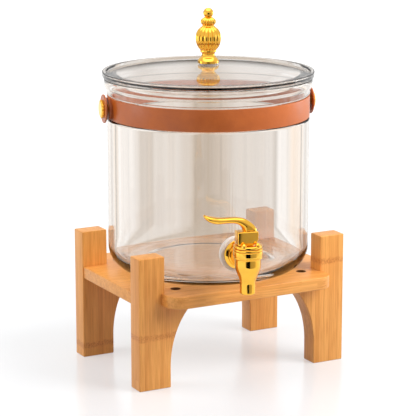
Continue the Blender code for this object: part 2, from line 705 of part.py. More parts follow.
def build_strap(jar_axis):
    straps = []
    for side, name in ((-1, "strap_front"), (1, "strap_back")):
        strap = plate(name, strap_outline(side), STRAP_HEIGHT, LEATHER)
        place(strap, jar_axis, (0, 0, STRAP_MIDDLE))
        smooth(strap.data)
        straps.append(strap)
    strap_face = cylinder(
        "cut_disc_back", STRAP_OUTER_RADIUS + SEAT_GAP, -OVERRUN, 2 * STRAP_MIDDLE, None, GLASS_STEPS
    )
    place(strap_face, jar_axis)
    for side, name in ((-1, "left"), (1, "right")):
        outwards = (0, side * QUARTER, 0)
        centre = (0, 0, STRAP_MIDDLE)
        back_face = STRAP_INNER_RADIUS + STUD_BACK_THICKNESS
        pocket = cylinder(
            f"cut_stud_back_{name}", STUD_BACK_RADIUS + SEAT_GAP, JAR_INNER_RADIUS, back_face + SEAT_GAP,
            None, DETAIL_STEPS,
        )
        shank_hole = cylinder(
            f"cut_stud_hole_{name}", STUD_HOLE_RADIUS, JAR_INNER_RADIUS, STUD_FACE, None, DETAIL_STEPS
        )
        for cutter in (pocket, shank_hole):
            place(cutter, jar_axis, centre, outwards)
            for strap in straps:
                combine(strap, cutter)
        inner_disc = turned(
            f"strap_disc_inner_{name}",
            ring_profile(
                STUD_HOLE_RADIUS, INNER_DISC_RADIUS, STRAP_INNER_RADIUS, INNER_DISC_FACE, LEATHER_ROUNDING
            ),
            LEATHER,
        )
        combine(place(inner_disc, jar_axis, centre, outwards), strap_face)
        spacer = turned(
            f"stud_spacer_{name}",
            ring_profile(STUD_HOLE_RADIUS, SPACER_RADIUS, SPACER_FACE - SPACER_LENGTH, SPACER_FACE, 0),
            GOLD, DETAIL_STEPS,
        )
        place(spacer, jar_axis, centre, outwards)
        outer_disc = turned(
            f"strap_disc_outer_{name}",
            ring_profile(
                STUD_HOLE_RADIUS, OUTER_DISC_RADIUS, OUTER_DISC_FACE - OUTER_DISC_THICKNESS,
                OUTER_DISC_FACE, LEATHER_ROUNDING,
            ),
            LEATHER,
        )
        place(outer_disc, jar_axis, centre, outwards)
        head_back = STUD_FACE - STUD_HEIGHT
        stud = turned(
            f"stud_{name}",
            [
                (0, STUD_FACE),
                (STUD_RADIUS - STUD_EDGE, STUD_FACE),
                (STUD_RADIUS, STUD_FACE - STUD_EDGE),
                (STUD_RADIUS, head_back),
                (STUD_SHANK_RADIUS, head_back),
                (STUD_SHANK_RADIUS, STRAP_INNER_RADIUS + SEAT_GAP),
                (0, STRAP_INNER_RADIUS + SEAT_GAP),
            ],
            GOLD,
        )
        place(stud, jar_axis, centre, outwards)
        back = turned(
            f"stud_back_{name}",
            ring_profile(STUD_HOLE_RADIUS, STUD_BACK_RADIUS, STRAP_INNER_RADIUS, back_face, 0),
            STEEL, DETAIL_STEPS,
        )
        place(back, jar_axis, centre, outwards)


def dome_height(top, radius):
    """Height on the dome at this distance from the axis, for a dome whose middle is at top."""
    return top - DOME_SPHERE_RADIUS + math.sqrt(DOME_SPHERE_RADIUS**2 - radius**2)


def lid_profile():
    profile = []
    for i in range(DOME_POINTS):
        radius = LID_BORE_RADIUS + (DOME_EDGE_RADIUS - LID_BORE_RADIUS) * i / (DOME_POINTS - 1)
        profile.append((radius, dome_height(LID_TOP, radius)))
    rim_inner = DOME_EDGE_RADIUS + LID_RIM_WIDTH / 3
    profile += arc(
        rim_inner + LID_RIM_ROUNDING, LID_RIM_TOP - LID_RIM_ROUNDING, LID_RIM_ROUNDING, 150, 90, 2
    )
    profile += arc(
        LID_RADIUS - LID_RIM_ROUNDING, LID_RIM_TOP - LID_RIM_ROUNDING, LID_RIM_ROUNDING, 90, 0, 3
    )
    profile += arc(LID_RADIUS - LID_RIM_ROUNDING, LID_SEAT + LID_RIM_ROUNDING, LID_RIM_ROUNDING, 0, -90, 3)
    skirt_bottom = LID_SEAT - SKIRT_DEPTH
    profile += [(SKIRT_RADIUS, LID_SEAT)]
    profile += arc(SKIRT_RADIUS - SKIRT_ROUNDING, skirt_bottom + SKIRT_ROUNDING, SKIRT_ROUNDING, 0, -90, 2)
    profile += arc(
        SKIRT_INNER_RADIUS + SKIRT_ROUNDING, skirt_bottom + SKIRT_ROUNDING, SKIRT_ROUNDING, -90, -180, 2
    )
    under_edge = SKIRT_INNER_RADIUS - SKIRT_ROUNDING
    for i in range(DOME_POINTS):
        radius = under_edge + (LID_BORE_RADIUS - under_edge) * i / (DOME_POINTS - 1)
        profile.append((radius, dome_height(LID_CENTRE_UNDER, radius)))
    return profile


def knob_section():
    """(height, radius, rib depth share) from the foot of the knob to the top of its ball."""
    rows = [(h * KNOB_HEIGHT, r * KNOB_BASE_RADIUS, 0.0) for h, r in KNOB_FOOT_shares]
    rows += [(h * KNOB_HEIGHT, r * KNOB_EGG_RADIUS, EGG_RIB_DEPTH_share) for h, r in KNOB_EGG_shares]
    rows += [(h * KNOB_HEIGHT, r * KNOB_BULB_RADIUS, BULB_RIB_DEPTH_share) for h, r in KNOB_BULB_shares]
    start = -math.acos(KNOB_NECK_share)
    for i in range(KNOB_BALL_POINTS):
        angle = start + (QUARTER - start) * i / (KNOB_BALL_POINTS - 1)
        height = KNOB_HEIGHT - KNOB_BALL_RADIUS + KNOB_BALL_RADIUS * math.sin(angle)
        rows.append((height, KNOB_BALL_RADIUS * math.cos(angle), 0.0))
    return rows


def build_knob(jar_axis):
    """The turned knob with its egg and its small bulb gadrooned: convex ribs with sharp valleys."""
    rows = knob_section()
    steps = KNOB_RIBS * KNOB_STEPS_PER_RIB
    mesh = bpy.data.meshes.new("knob")
    shape = bmesh.new()
    line = [shape.verts.new((0, 0, 0))]
    line += [shape.verts.new((radius, 0, height)) for height, radius, _ in rows]
    edges = [shape.edges.new(pair) for pair in zip(line, line[1:])]
    bmesh.ops.spin(
        shape, geom=line + edges, cent=(0, 0, 0), axis=(0, 0, 1), angle=2 * math.pi, steps=steps,
        use_merge=True, use_duplicate=False,
    )
    bmesh.ops.remove_doubles(shape, verts=shape.verts, dist=MERGE_DISTANCE)
    ribbed = rows[len(KNOB_FOOT_shares):-KNOB_BALL_POINTS]
    for vertex in shape.verts:
        row = min(rows, key=lambda entry: abs(entry[0] - vertex.co.z))
        depth = row[2] / 2 if row in (ribbed[0], ribbed[-1]) else row[2]
        around = math.atan2(vertex.co.y, vertex.co.x)
        valley = 1 - abs(math.sin(KNOB_RIBS * around / 2))
        vertex.co.x *= 1 - depth * valley
        vertex.co.y *= 1 - depth * valley
    bmesh.ops.recalc_face_normals(shape, faces=shape.faces)
    shape.to_mesh(mesh)
    shape.free()
    smooth(mesh)
    knob = place(add_object("knob", mesh, GOLD), jar_axis, (0, 0, KNOB_BOTTOM), (0, 0, KNOB_TURN))
    thread = cylinder(
        "cut_knob_thread", KNOB_THREAD_RADIUS + SEAT_GAP,
        KNOB_BOTTOM - OVERRUN, KNOB_BOTTOM + KNOB_THREAD_DEPTH, None, DETAIL_STEPS,
    )
    combine(knob, place(thread, jar_axis))


def build_lid(jar_axis):
    place(turned("lid", lid_profile(), GLASS, GLASS_STEPS), jar_axis)
    build_knob(jar_axis)
    bore = KNOB_THREAD_RADIUS + SEAT_GAP
    upper = ring_profile(
        bore, KNOB_WASHER_RADIUS, KNOB_WASHER_BOTTOM, KNOB_WASHER_BOTTOM + KNOB_WASHER_THICKNESS, 0
    )
    place(turned("knob_washer_upper", upper, SILICONE, DETAIL_STEPS), jar_axis)
    lower = ring_profile(
        bore, KNOB_WASHER_RADIUS, UNDER_WASHER_TOP - KNOB_WASHER_THICKNESS, UNDER_WASHER_TOP, 0
    )
    place(turned("knob_washer_lower", lower, SILICONE, DETAIL_STEPS), jar_axis)
    head_bottom = KNOB_SCREW_HEAD_TOP - KNOB_SCREW_HEAD_HEIGHT
    screw = [
        (0, KNOB_SCREW_TOP),
        (KNOB_THREAD_RADIUS, KNOB_SCREW_TOP),
        (KNOB_THREAD_RADIUS, KNOB_SCREW_HEAD_TOP),
        (KNOB_SCREW_HEAD_RADIUS, KNOB_SCREW_HEAD_TOP),
        (KNOB_SCREW_HEAD_RADIUS, KNOB_SCREW_HEAD_TOP - KNOB_SCREW_HEAD_HEIGHT / 2),
        (KNOB_SCREW_HEAD_RADIUS - KNOB_SCREW_HEAD_HEIGHT / 2, head_bottom),
        (0, head_bottom),
    ]
    place(turned("knob_screw", screw, STEEL, DETAIL_STEPS), jar_axis)


def barrel_profile():
    """The tap's upright barrel: head, barrel, tapering waist and straight spout."""
    profile = [
        (0, HEAD_TOP),
        (HEAD_RADIUS - METAL_CHAMFER, HEAD_TOP),
        (HEAD_RADIUS, HEAD_TOP - METAL_CHAMFER),
        (HEAD_RADIUS, HEAD_BOTTOM + 2 * METAL_CHAMFER),
        (BARREL_RADIUS, HEAD_BOTTOM),
    ]
    for i in range(TAPER_POINTS):
        share = i / (TAPER_POINTS - 1)
        blend = (1 + math.cos(math.pi * share)) / 2
        profile.append(
            (
                SPOUT_RADIUS + (BARREL_RADIUS - SPOUT_RADIUS) * blend,
                BARREL_TAPER_TOP + (BARREL_TAPER_BOTTOM - BARREL_TAPER_TOP) * share,
            )
        )
    profile += [
        (SPOUT_RADIUS, SPOUT_BOTTOM + METAL_CHAMFER),
        (SPOUT_RADIUS - METAL_CHAMFER, SPOUT_BOTTOM),
        (0, SPOUT_BOTTOM),
    ]
    return profile


def towards_jar(distance_from_jar_axis):
    """How far from the tap's upright axis a plane at this distance from the jar's axis lies."""
    return TAP_REACH - distance_from_jar_axis


def build_tap_body(tap_axis):
    body = place(turned("tap_body", barrel_profile(), GOLD), tap_axis)
    inlet = turned(
        "join_inlet",
        [
            (0, 0),
            (INLET_NECK_RADIUS, 0),
            (INLET_NECK_RADIUS, towards_jar(COLLAR_FRONT)),
            (COLLAR_RADIUS, towards_jar(COLLAR_FRONT)),
            (COLLAR_RADIUS, towards_jar(COLLAR_BACK)),
            (SHANK_RADIUS, towards_jar(COLLAR_BACK)),
            (SHANK_RADIUS, towards_jar(SHANK_END)),
            (0, towards_jar(SHANK_END)),
        ],
        None,
    )
    combine(body, place(inlet, tap_axis, rotation=(-QUARTER, 0, 0)), "UNION")
    valve = turned(
        "cut_valve_bores",
        [
            (0, HEAD_TOP + OVERRUN),
            (THREAD_BORE_RADIUS, HEAD_TOP + OVERRUN),
            (THREAD_BORE_RADIUS, THREAD_FLOOR),
            (CHAMBER_RADIUS, THREAD_FLOOR),
            (CHAMBER_RADIUS, SEAT_HEIGHT),
            (PORT_RADIUS, SEAT_HEIGHT),
            (PORT_RADIUS, SEAT_HEIGHT - SEAT_THICKNESS),
            (SPOUT_BORE_RADIUS, SEAT_HEIGHT - SEAT_THICKNESS),
            (SPOUT_BORE_RADIUS, SPOUT_BOTTOM - OVERRUN),
            (0, SPOUT_BOTTOM - OVERRUN),
        ],
        None, BORE_STEPS,
    )
    bore_end = towards_jar(SHANK_END) + OVERRUN
    bore = cylinder("cut_inlet_bore", INLET_BORE_RADIUS, 0, bore_end, None, BORE_STEPS)
    combine(body, place(bore, tap_axis, rotation=(-QUARTER, 0, 0)))
    combine(body, place(valve, tap_axis))


def build_tap_seals(jar_axis):
    """Flange, both gaskets and the nut on the shank, turned about the inlet's axis."""
    centre = (0, 0, INLET_HEIGHT)
    outwards = (QUARTER, 0, 0)
    flange = turned(
        "tap_flange",
        [
            (SHANK_BORE_RADIUS, FLANGE_FACE),
            (COLLAR_RADIUS + METAL_CHAMFER, FLANGE_FACE),
            (FLANGE_RADIUS - METAL_CHAMFER, FLANGE_FACE - FLANGE_THICKNESS / 3),
            (FLANGE_RADIUS, FLANGE_FACE - FLANGE_THICKNESS / 2),
            (FLANGE_RADIUS, GASKET_FACE + SEAT_GAP),
            (SHANK_BORE_RADIUS, GASKET_FACE + SEAT_GAP),
        ],
        GOLD,
    )
    place(flange, jar_axis, centre, outwards)
    above = INLET_HEIGHT + GASKET_RADIUS + OVERRUN
    jar_face = cylinder("cut_gasket_back", JAR_RADIUS + SEAT_GAP, -OVERRUN, above, None, GLASS_STEPS)
    place(jar_face, jar_axis)
    rounded = arc(GASKET_RADIUS - GASKET_ROUNDING, GASKET_FACE - GASKET_ROUNDING, GASKET_ROUNDING, 90, 0, 3)
    gasket = turned(
        "gasket_outer",
        [(SHANK_BORE_RADIUS, GASKET_FACE), *rounded,
         (GASKET_RADIUS, JAR_INNER_RADIUS), (SHANK_BORE_RADIUS, JAR_INNER_RADIUS)],
        SILICONE,
    )
    combine(place(gasket, jar_axis, centre, outwards), jar_face)
    inner = turned(
        "gasket_inner",
        ring_profile(SHANK_BORE_RADIUS, INNER_GASKET_RADIUS, INNER_GASKET_FACE, JAR_RADIUS, 0),
        SILICONE,
    )
    jar_inside = cylinder("keep_inside_jar", JAR_INNER_RADIUS - SEAT_GAP, 0, above, None, GLASS_STEPS)
    place(jar_inside, jar_axis)
    combine(place(inner, jar_axis, centre, outwards), jar_inside, "INTERSECT")
    nut = cylinder("tap_nut", NUT_RADIUS, NUT_FACE - NUT_THICKNESS, NUT_FACE, STEEL, 6)
    bevel(nut, METAL_CHAMFER, 1)
    nut_bore = cylinder("cut_nut_bore", SHANK_BORE_RADIUS, SHANK_END, JAR_INNER_RADIUS)
    place(nut, jar_axis, centre, outwards)
    combine(nut, place(nut_bore, jar_axis, centre, outwards))


def build_bonnet(tap_axis):
    """The cap that closes the valve chamber, with the stem's gland in its underside."""
    bonnet = [
        (STEM_BORE_RADIUS, BONNET_TOP),
        (HEAD_RADIUS - 2 * METAL_CHAMFER, BONNET_TOP),
        (HEAD_RADIUS, BONNET_TOP - METAL_CHAMFER),
        (HEAD_RADIUS, FLANGE_UNDER),
        (BONNET_THREAD_RADIUS, FLANGE_UNDER),
        (BONNET_THREAD_RADIUS, CEILING_UNDER),
        (GLAND_RADIUS, CEILING_UNDER),
        (GLAND_RADIUS, GLAND_TOP),
        (STEM_BORE_RADIUS, GLAND_TOP),
    ]
    place(turned("bonnet", bonnet, GOLD), tap_axis)
    ring = arc(O_RING_RADIUS, CEILING_UNDER + O_RING_SECTION, O_RING_SECTION, 360, 60, 6)
    place(turned("stem_o_ring", ring, SILICONE, DETAIL_STEPS), tap_axis)
    washer = ring_profile(STEM_BORE_RADIUS, GLAND_WASHER_RADIUS, GLAND_WASHER_BOTTOM, GLAND_WASHER_TOP, 0)
    place(turned("gland_washer", washer, STEEL, DETAIL_STEPS), tap_axis)


def build_spring(tap_axis):
    """A plain helix of round wire between the stem's collar and the gland's washer."""
    bottom = SPRING_BOTTOM + SPRING_WIRE_RADIUS
    top = SPRING_TOP - SPRING_WIRE_RADIUS
    count = round(SPRING_TURNS * SPRING_POINTS_PER_TURN) + 1
    curve = bpy.data.curves.new("spring", "CURVE")
    curve.dimensions = "3D"
    curve.bevel_depth = SPRING_WIRE_RADIUS
    curve.bevel_resolution = 1
    curve.use_fill_caps = True
    spline = curve.splines.new("POLY")
    spline.points.add(count - 1)
    for i, point in enumerate(spline.points):
        share = i / (count - 1)
        angle = 2 * math.pi * SPRING_TURNS * share
        height = bottom + (top - bottom) * share
        point.co = (SPRING_RADIUS * math.cos(angle), SPRING_RADIUS * math.sin(angle), height, 1)
    centres = [point.co.to_3d() for point in spline.points]
    spring = bpy.data.objects.new("spring", curve)
    PARTS.objects.link(spring)
    place(as_mesh(spring, STEEL), tap_axis)
    half_turn = SPRING_POINTS_PER_TURN // 2
    least = min(
        (centres[i] - centres[j]).length
        for i in range(count)
        for j in range(i + half_turn, count)
    )
    print(f"spring: least gap to itself {(least - 2 * SPRING_WIRE_RADIUS) / MM:.2f} mm")


def build_stem(tap_axis, lever_pivot):
    """Stem with its pivot eye, the plug that it carries, and the pin."""
    stem = turned(
        "stem",
        [
            (0, PIVOT_HEIGHT),
            (STEM_RADIUS, PIVOT_HEIGHT),
            (STEM_RADIUS, STEM_COLLAR_TOP),
            (STEM_COLLAR_RADIUS, STEM_COLLAR_TOP),
            (STEM_COLLAR_RADIUS, STEM_COLLAR_BOTTOM),
            (STEM_RADIUS, STEM_COLLAR_BOTTOM),
            (STEM_RADIUS, STEM_BOTTOM),
            (0, STEM_BOTTOM),
        ],
        STEEL, DETAIL_STEPS,
    )
    place(stem, tap_axis)
    across = (QUARTER, 0, 0)
    eye = cylinder("join_eye", EYE_RADIUS, -EYE_THICKNESS / 2, EYE_THICKNESS / 2, None, DETAIL_STEPS)
    combine(stem, place(eye, lever_pivot, rotation=across), "UNION")
    hole_front = HEEL_DEPTH / 2 - PIN_COVER
    pin_hole = cylinder("cut_pin_hole", PIN_HOLE_RADIUS, -HEEL_DEPTH, hole_front, None, DETAIL_STEPS)
    combine(stem, place(pin_hole, lever_pivot, rotation=across))
    pin_back = PIN_RECESS - HEEL_DEPTH / 2
    pin = cylinder("pivot_pin", PIN_RADIUS, pin_back, hole_front - SEAT_GAP, STEEL, DETAIL_STEPS)
    place(pin, lever_pivot, rotation=across)
    socket = STEM_RADIUS + SEAT_GAP
    plug = [
        (0, STEM_BOTTOM - SEAT_GAP),
        (socket, STEM_BOTTOM - SEAT_GAP),
        (socket, PLUG_TOP),
        (PLUG_RADIUS, PLUG_TOP),
        (PLUG_RADIUS, PLUG_BOTTOM),
        (PORT_RADIUS - SEAT_GAP, PLUG_BOTTOM),
        (PLUG_NOSE_RADIUS, PLUG_BOTTOM - PLUG_NOSE),
        (0, PLUG_BOTTOM - PLUG_NOSE),
    ]
    place(turned("seat_plug", plug, SILICONE, DETAIL_STEPS), tap_axis)
    return pin_hole


def build_turning_washer(tap_axis):
    """The washer that turns with the lever, with four domed lugs that hold the heel's sides."""
    washer = turned(
        "cam_washer",
        ring_profile(STEM_BORE_RADIUS, WASHER_RADIUS, WASHER_BOTTOM, WASHER_TOP, METAL_CHAMFER),
        GOLD,
    )
    place(washer, tap_axis)
    mesh = bpy.data.meshes.new("join_lugs")
    shape = bmesh.new()
    for x_side in (-1, 1):
        for y_side in (-1, 1):
            centre = (x_side * LUG_SPACING_X / 2, y_side * LUG_SPACING_Y / 2, WASHER_TOP)
            swell = Matrix.Diagonal((LUG_RADIUS, LUG_RADIUS, LUG_HEIGHT, 1))
            bmesh.ops.create_uvsphere(
                shape, u_segments=8, v_segments=6, radius=1, matrix=Matrix.Translation(centre) @ swell
            )
    lug_foot = WASHER_TOP - WASHER_THICKNESS / 2
    for vertex in shape.verts:
        vertex.co.z = max(vertex.co.z, lug_foot)
    shape.to_mesh(mesh)
    shape.free()
    combine(washer, place(add_object("join_lugs", mesh, None), tap_axis), "UNION")


def heel_outline():
    """The heel about the pin: flat underneath at rest, an involute, and a flat side that holds it open."""
    k = HEEL_LIFT_PER_RADIAN
    points = [(-HEEL_BACK, -HEEL_REST)]
    for i in range(HEEL_POINTS):
        angle = OPEN_ANGLE * i / (HEEL_POINTS - 1)
        reach = HEEL_REST + k * angle
        points.append(
            (
                reach * math.sin(angle) + k * math.cos(angle),
                -reach * math.cos(angle) + k * math.sin(angle),
            )
        )
    points += [(HEEL_OPEN, HEEL_TOP), (-HEEL_BACK, HEEL_TOP)]
    return points


def between(a, b, c, d, share):
    """Catmull-Rom value between b and c."""
    return 0.5 * (
        2 * b + (c - a) * share + (2 * a - 5 * b + 4 * c - d) * share**2 + (3 * b - a - 3 * c + d) * share**3
    )


def lever_stations():
    """The lever's sections, smoothed between the stations chosen by hand."""
    table = [LEVER_STATION_shares[0], *LEVER_STATION_shares, LEVER_STATION_shares[-1]]
    rows = []
    for i in range(1, len(table) - 2):
        for step in range(LEVER_STEPS_BETWEEN):
            share = step / LEVER_STEPS_BETWEEN
            rows.append([between(*values, share) for values in zip(*table[i - 1:i + 3])])
    rows.append(LEVER_STATION_shares[-1])
    return rows


def build_swan_neck():
    """The lever's blade, lofted through rounded sections that widen to a thumb paddle."""
    mesh = bpy.data.meshes.new("join_blade")
    shape = bmesh.new()
    rings = []
    for top_x, top_z, bottom_x, bottom_z, width in lever_stations():
        middle_x = (top_x + bottom_x) / 2 * LEVER_REACH
        middle_z = (top_z + bottom_z) / 2 * LEVER_RISE
        half_x = (top_x - bottom_x) / 2 * LEVER_REACH
        half_z = (top_z - bottom_z) / 2 * LEVER_RISE
        ring = []
        for i in range(LEVER_RING_POINTS):
            angle = 2 * math.pi * i / LEVER_RING_POINTS
            across = math.copysign(abs(math.cos(angle)) ** 0.7, math.cos(angle))
            along = math.copysign(abs(math.sin(angle)) ** 0.7, math.sin(angle))
            ring.append(
                shape.verts.new(
                    (middle_x + half_x * along, across * width * LEVER_WIDTH / 2, middle_z + half_z * along)
                )
            )
        rings.append(ring)
    for first, second in zip(rings, rings[1:]):
        for i in range(LEVER_RING_POINTS):
            j = (i + 1) % LEVER_RING_POINTS
            shape.faces.new((first[i], first[j], second[j], second[i]))
    shape.faces.new(rings[0][::-1])
    shape.faces.new(rings[-1])
    bmesh.ops.recalc_face_normals(shape, faces=shape.faces)
    shape.to_mesh(mesh)
    shape.free()
    smooth(mesh)
    return add_object("join_blade", mesh, None)


def build_lever(lever_pivot, pin_hole):
    """Heel and swan-neck blade in one casting. At rest the blade points to the tap's left."""
    lever = plate("lever", heel_outline(), HEEL_DEPTH, GOLD)
    place(lever, lever_pivot, rotation=(QUARTER, 0, 0))
    bevel(lever, HEEL_ROUNDING)
    combine(lever, place(build_swan_neck(), lever_pivot), "UNION")
    reach = HEEL_OPEN + OVERRUN
    slot = box(
        "cut_stem_slot", (-SLOT_REACH, -SLOT_WIDTH / 2, -reach), (reach, SLOT_WIDTH / 2, SLOT_REACH)
    )
    combine(lever, place(slot, lever_pivot))
    combine(lever, pin_hole)
    pocket = [(x * LEVER_REACH, z * LEVER_RISE) for x, z in POCKET_shares]
    for side, name in ((-1, "front"), (1, "back")):
        cutter = plate(f"cut_pocket_{name}", pocket, POCKET_DEPTH + OVERRUN, None)
        middle = side * (LEVER_WIDTH / 2 + OVERRUN / 2 - POCKET_DEPTH / 2)
        combine(lever, place(cutter, lever_pivot, (0, middle, 0), (QUARTER, 0, 0)))


def main():
    frame = new_empty("dispenser_frame", (0, FRAME_SHIFT_Y, 0))
    jar_axis = new_empty("jar_axis", (0, 0, JAR_BASE), frame, JAR_TURN)
    tap_axis = new_empty("tap_axis", (0, -TAP_REACH, INLET_HEIGHT), jar_axis)
    lever_pivot = new_empty("lever_pivot", (0, 0, PIVOT_HEIGHT), tap_axis)
    build_stand(frame)
    build_jar(jar_axis)
    build_strap(jar_axis)
    build_lid(jar_axis)
    build_tap_body(tap_axis)
    build_tap_seals(jar_axis)
    build_bonnet(tap_axis)
    build_spring(tap_axis)
    pin_hole = build_stem(tap_axis, lever_pivot)
    build_turning_washer(tap_axis)
    build_lever(lever_pivot, pin_hole)


clear_scene()
PARTS = new_collection("glass_drink_dispenser")
CUTTERS = new_collection("cutters")
BAMBOO = new_material("bamboo", (0.80, 0.50, 0.24), 0.45)
GLASS = new_material("clear_glass", (0.95, 0.97, 0.97), 0.03, transmission=1.0)
LEATHER = new_material("tan_leather", (0.66, 0.30, 0.12), 0.55)
GOLD = new_material("polished_gold", (0.95, 0.62, 0.16), 0.12, metallic=1.0)
SILICONE = new_material("white_silicone", (0.88, 0.85, 0.82), 0.5)
STEEL = new_material("steel", (0.62, 0.62, 0.62), 0.3, metallic=1.0)
main()
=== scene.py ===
"""Looks of the glass drink dispenser: bamboo stand, glass jar and lid, leather band, gold tap and knob.

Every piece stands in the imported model's frame, in metres, with +Z up.
"""

import math

import bmesh
import bpy
from bpy.props import FloatProperty, FloatVectorProperty, IntProperty, PointerProperty
from mathutils import Matrix, Vector


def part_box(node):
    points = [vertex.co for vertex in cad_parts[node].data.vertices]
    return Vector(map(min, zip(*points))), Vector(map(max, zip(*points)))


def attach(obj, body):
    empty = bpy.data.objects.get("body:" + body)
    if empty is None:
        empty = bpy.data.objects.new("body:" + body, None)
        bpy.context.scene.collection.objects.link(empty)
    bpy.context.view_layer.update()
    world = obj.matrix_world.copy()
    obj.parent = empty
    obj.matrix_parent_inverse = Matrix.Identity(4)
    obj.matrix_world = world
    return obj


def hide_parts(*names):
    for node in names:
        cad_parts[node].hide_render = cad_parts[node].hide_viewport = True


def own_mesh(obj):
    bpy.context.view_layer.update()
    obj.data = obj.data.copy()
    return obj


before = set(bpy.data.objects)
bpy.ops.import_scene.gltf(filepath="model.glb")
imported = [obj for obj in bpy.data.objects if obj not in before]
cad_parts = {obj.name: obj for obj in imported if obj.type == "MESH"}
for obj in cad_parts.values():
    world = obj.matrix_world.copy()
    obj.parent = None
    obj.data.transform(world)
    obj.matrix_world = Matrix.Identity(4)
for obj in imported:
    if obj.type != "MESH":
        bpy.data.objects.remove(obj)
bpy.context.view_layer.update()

bl_info = {
    "name": "Glass drink dispenser",
    "version": (1, 0, 0),
    "blender": (4, 5, 0),
    "location": "View3D > Sidebar > Dispenser",
    "description": "Builds the visible pieces of a glass drink dispenser around its packed model",
    "category": "Object",
}

MM = 0.001
LEFT_AND_RIGHT = ((-1, "left"), (1, "right"))
FRONT_AND_BACK = ((-1, "front"), (1, "back"))

# Places of the model's main axes
FRAME_SHIFT_Y = 20.75 * MM
JAR_BASE = 94.8 * MM
JAR_TURN = math.radians(-12.5)
TAP_REACH = 135 * MM
INLET_HEIGHT = 36.5 * MM
PIVOT_HEIGHT = 22 * MM
STAND_AT = Matrix.Translation((0, FRAME_SHIFT_Y, 0))
JAR_AT = Matrix.Translation((0, FRAME_SHIFT_Y, JAR_BASE)) @ Matrix.Rotation(JAR_TURN, 4, "Z")
INLET_AT = JAR_AT @ Matrix.Translation((0, 0, INLET_HEIGHT)) @ Matrix.Rotation(math.radians(90), 4, "X")
TAP_AT = JAR_AT @ Matrix.Translation((0, -TAP_REACH, INLET_HEIGHT))
PIVOT_AT = TAP_AT @ Matrix.Translation((0, 0, PIVOT_HEIGHT))
ACROSS_PIVOT = PIVOT_AT @ Matrix.Rotation(math.radians(90), 4, "X")

# Stand, in millimetres
STAND_HALF_X = 113.5
STAND_HALF_Y = 73.5
POST_INNER_X = 86.5
POST_INNER_Y = 54.5
LEG_THICKNESS = 19
LEG_CENTRE_Y = 64
LEG_HEIGHT = 130
FOOT_WIDTH = 33.5
ARCH_START = 20
ARCH_RISE = 72
ARCH_RUN = 52
UNDER_SHELF = 82.2
BRACKET_LIP = 2.3
SHELF_TOP = 94.5
SHELF_THICKNESS = 12
SHELF_SIDE = 112.5
EAR_X = 90.1
EAR_Y = 96
EAR_CORNER = 16
NOTCH_GAP = 0.3
SCREW_X = 70
SCREW_HEAD_TOP = 91.6
COUNTERBORE = 4.75
COUNTERBORE_DEPTH = 6

# Jar, lid and band, in millimetres from the jar's base and axis
JAR_RADIUS = 100
JAR_INNER = 95
STRAP_INNER = 97.9
STRAP_OUTER = 99.8
STRAP_LOW = 153.1
STRAP_HIGH = 174.3
STRAP_MIDDLE = 163.7
LID_TOP = 203.4
KNOB_BOTTOM = 204.8
KNOB_HEIGHT = 53.7
KNOB_TURN = math.radians(6.7)
DOME_RADIUS = 565.6

# Tap, in millimetres from the inlet's axis
HEAD_TOP = 11.3
SPOUT_BOTTOM = -30.3
LEVER_REACH = 42
LEVER_RISE = 24.2
LEVER_WIDTH = 12
HEEL_DEPTH = 13.2

# Along the lever from its root to its tip: the top edge's reach and rise, the bottom edge's reach
# and rise, and the width, as shares of the lever's reach, rise and width.
LEVER_STATIONS = (
    (0.195, 0.100, -0.110, 0.100, 1.03),
    (0.196, 0.258, -0.117, 0.295, 1.02),
    (0.176, 0.432, -0.131, 0.405, 1.00),
    (0.106, 0.593, -0.172, 0.518, 0.96),
    (0.006, 0.733, -0.244, 0.608, 0.90),
    (-0.104, 0.832, -0.317, 0.651, 0.84),
    (-0.244, 0.880, -0.377, 0.664, 0.79),
    (-0.382, 0.893, -0.460, 0.670, 0.78),
    (-0.522, 0.893, -0.576, 0.668, 0.82),
    (-0.661, 0.908, -0.716, 0.662, 0.95),
    (-0.798, 0.954, -0.852, 0.722, 1.08),
    (-0.909, 1.001, -0.957, 0.827, 1.00),
    (-0.985, 1.038, -1.008, 0.938, 0.66),
)
POCKET = (
    (-0.066, 0.345), (-0.068, 0.420), (-0.067, 0.490), (-0.040, 0.545), (-0.015, 0.560),
    (0.030, 0.510), (0.075, 0.440), (0.112, 0.380), (0.130, 0.345),
)

# Turned outline of the knob: height share, radius in millimetres, and whether its ribs show
KNOB_ROWS = (
    (0.000, 10.4, 0), (0.042, 10.4, 0), (0.062, 9.67, 0), (0.088, 8.53, 0), (0.114, 7.07, 0),
    (0.154, 6.34, 0), (0.186, 6.76, 0), (0.200, 7.9, 0), (0.226, 7.9, 0),
    (0.240, 8.06, 0.5), (0.285, 10.08, 1), (0.355, 11.84, 1), (0.443, 12.6, 1), (0.535, 11.97, 1),
    (0.610, 9.7, 1), (0.664, 6.3, 0.5),
    (0.686, 5.78, 0.5), (0.718, 7.14, 1.2), (0.750, 7.6, 1.3), (0.786, 6.92, 1.2), (0.830, 3.95, 0.5),
)
KNOB_BALL = 5
KNOB_NECK = 0.68

SHARP_ANGLE = math.radians(32)
LONG_SEGMENT = 4
SUPPORT = 0.7
MERGE = 1e-7


# ---------------------------------------------------------------- mesh helpers


def arc(centre_r, centre_z, radius, start, end, count):
    """Points on an arc, with its angles in degrees from +r towards +z."""
    angles = [math.radians(start + (end - start) * i / (count - 1)) for i in range(count)]
    return [(centre_r + radius * math.cos(a), centre_z + radius * math.sin(a)) for a in angles]


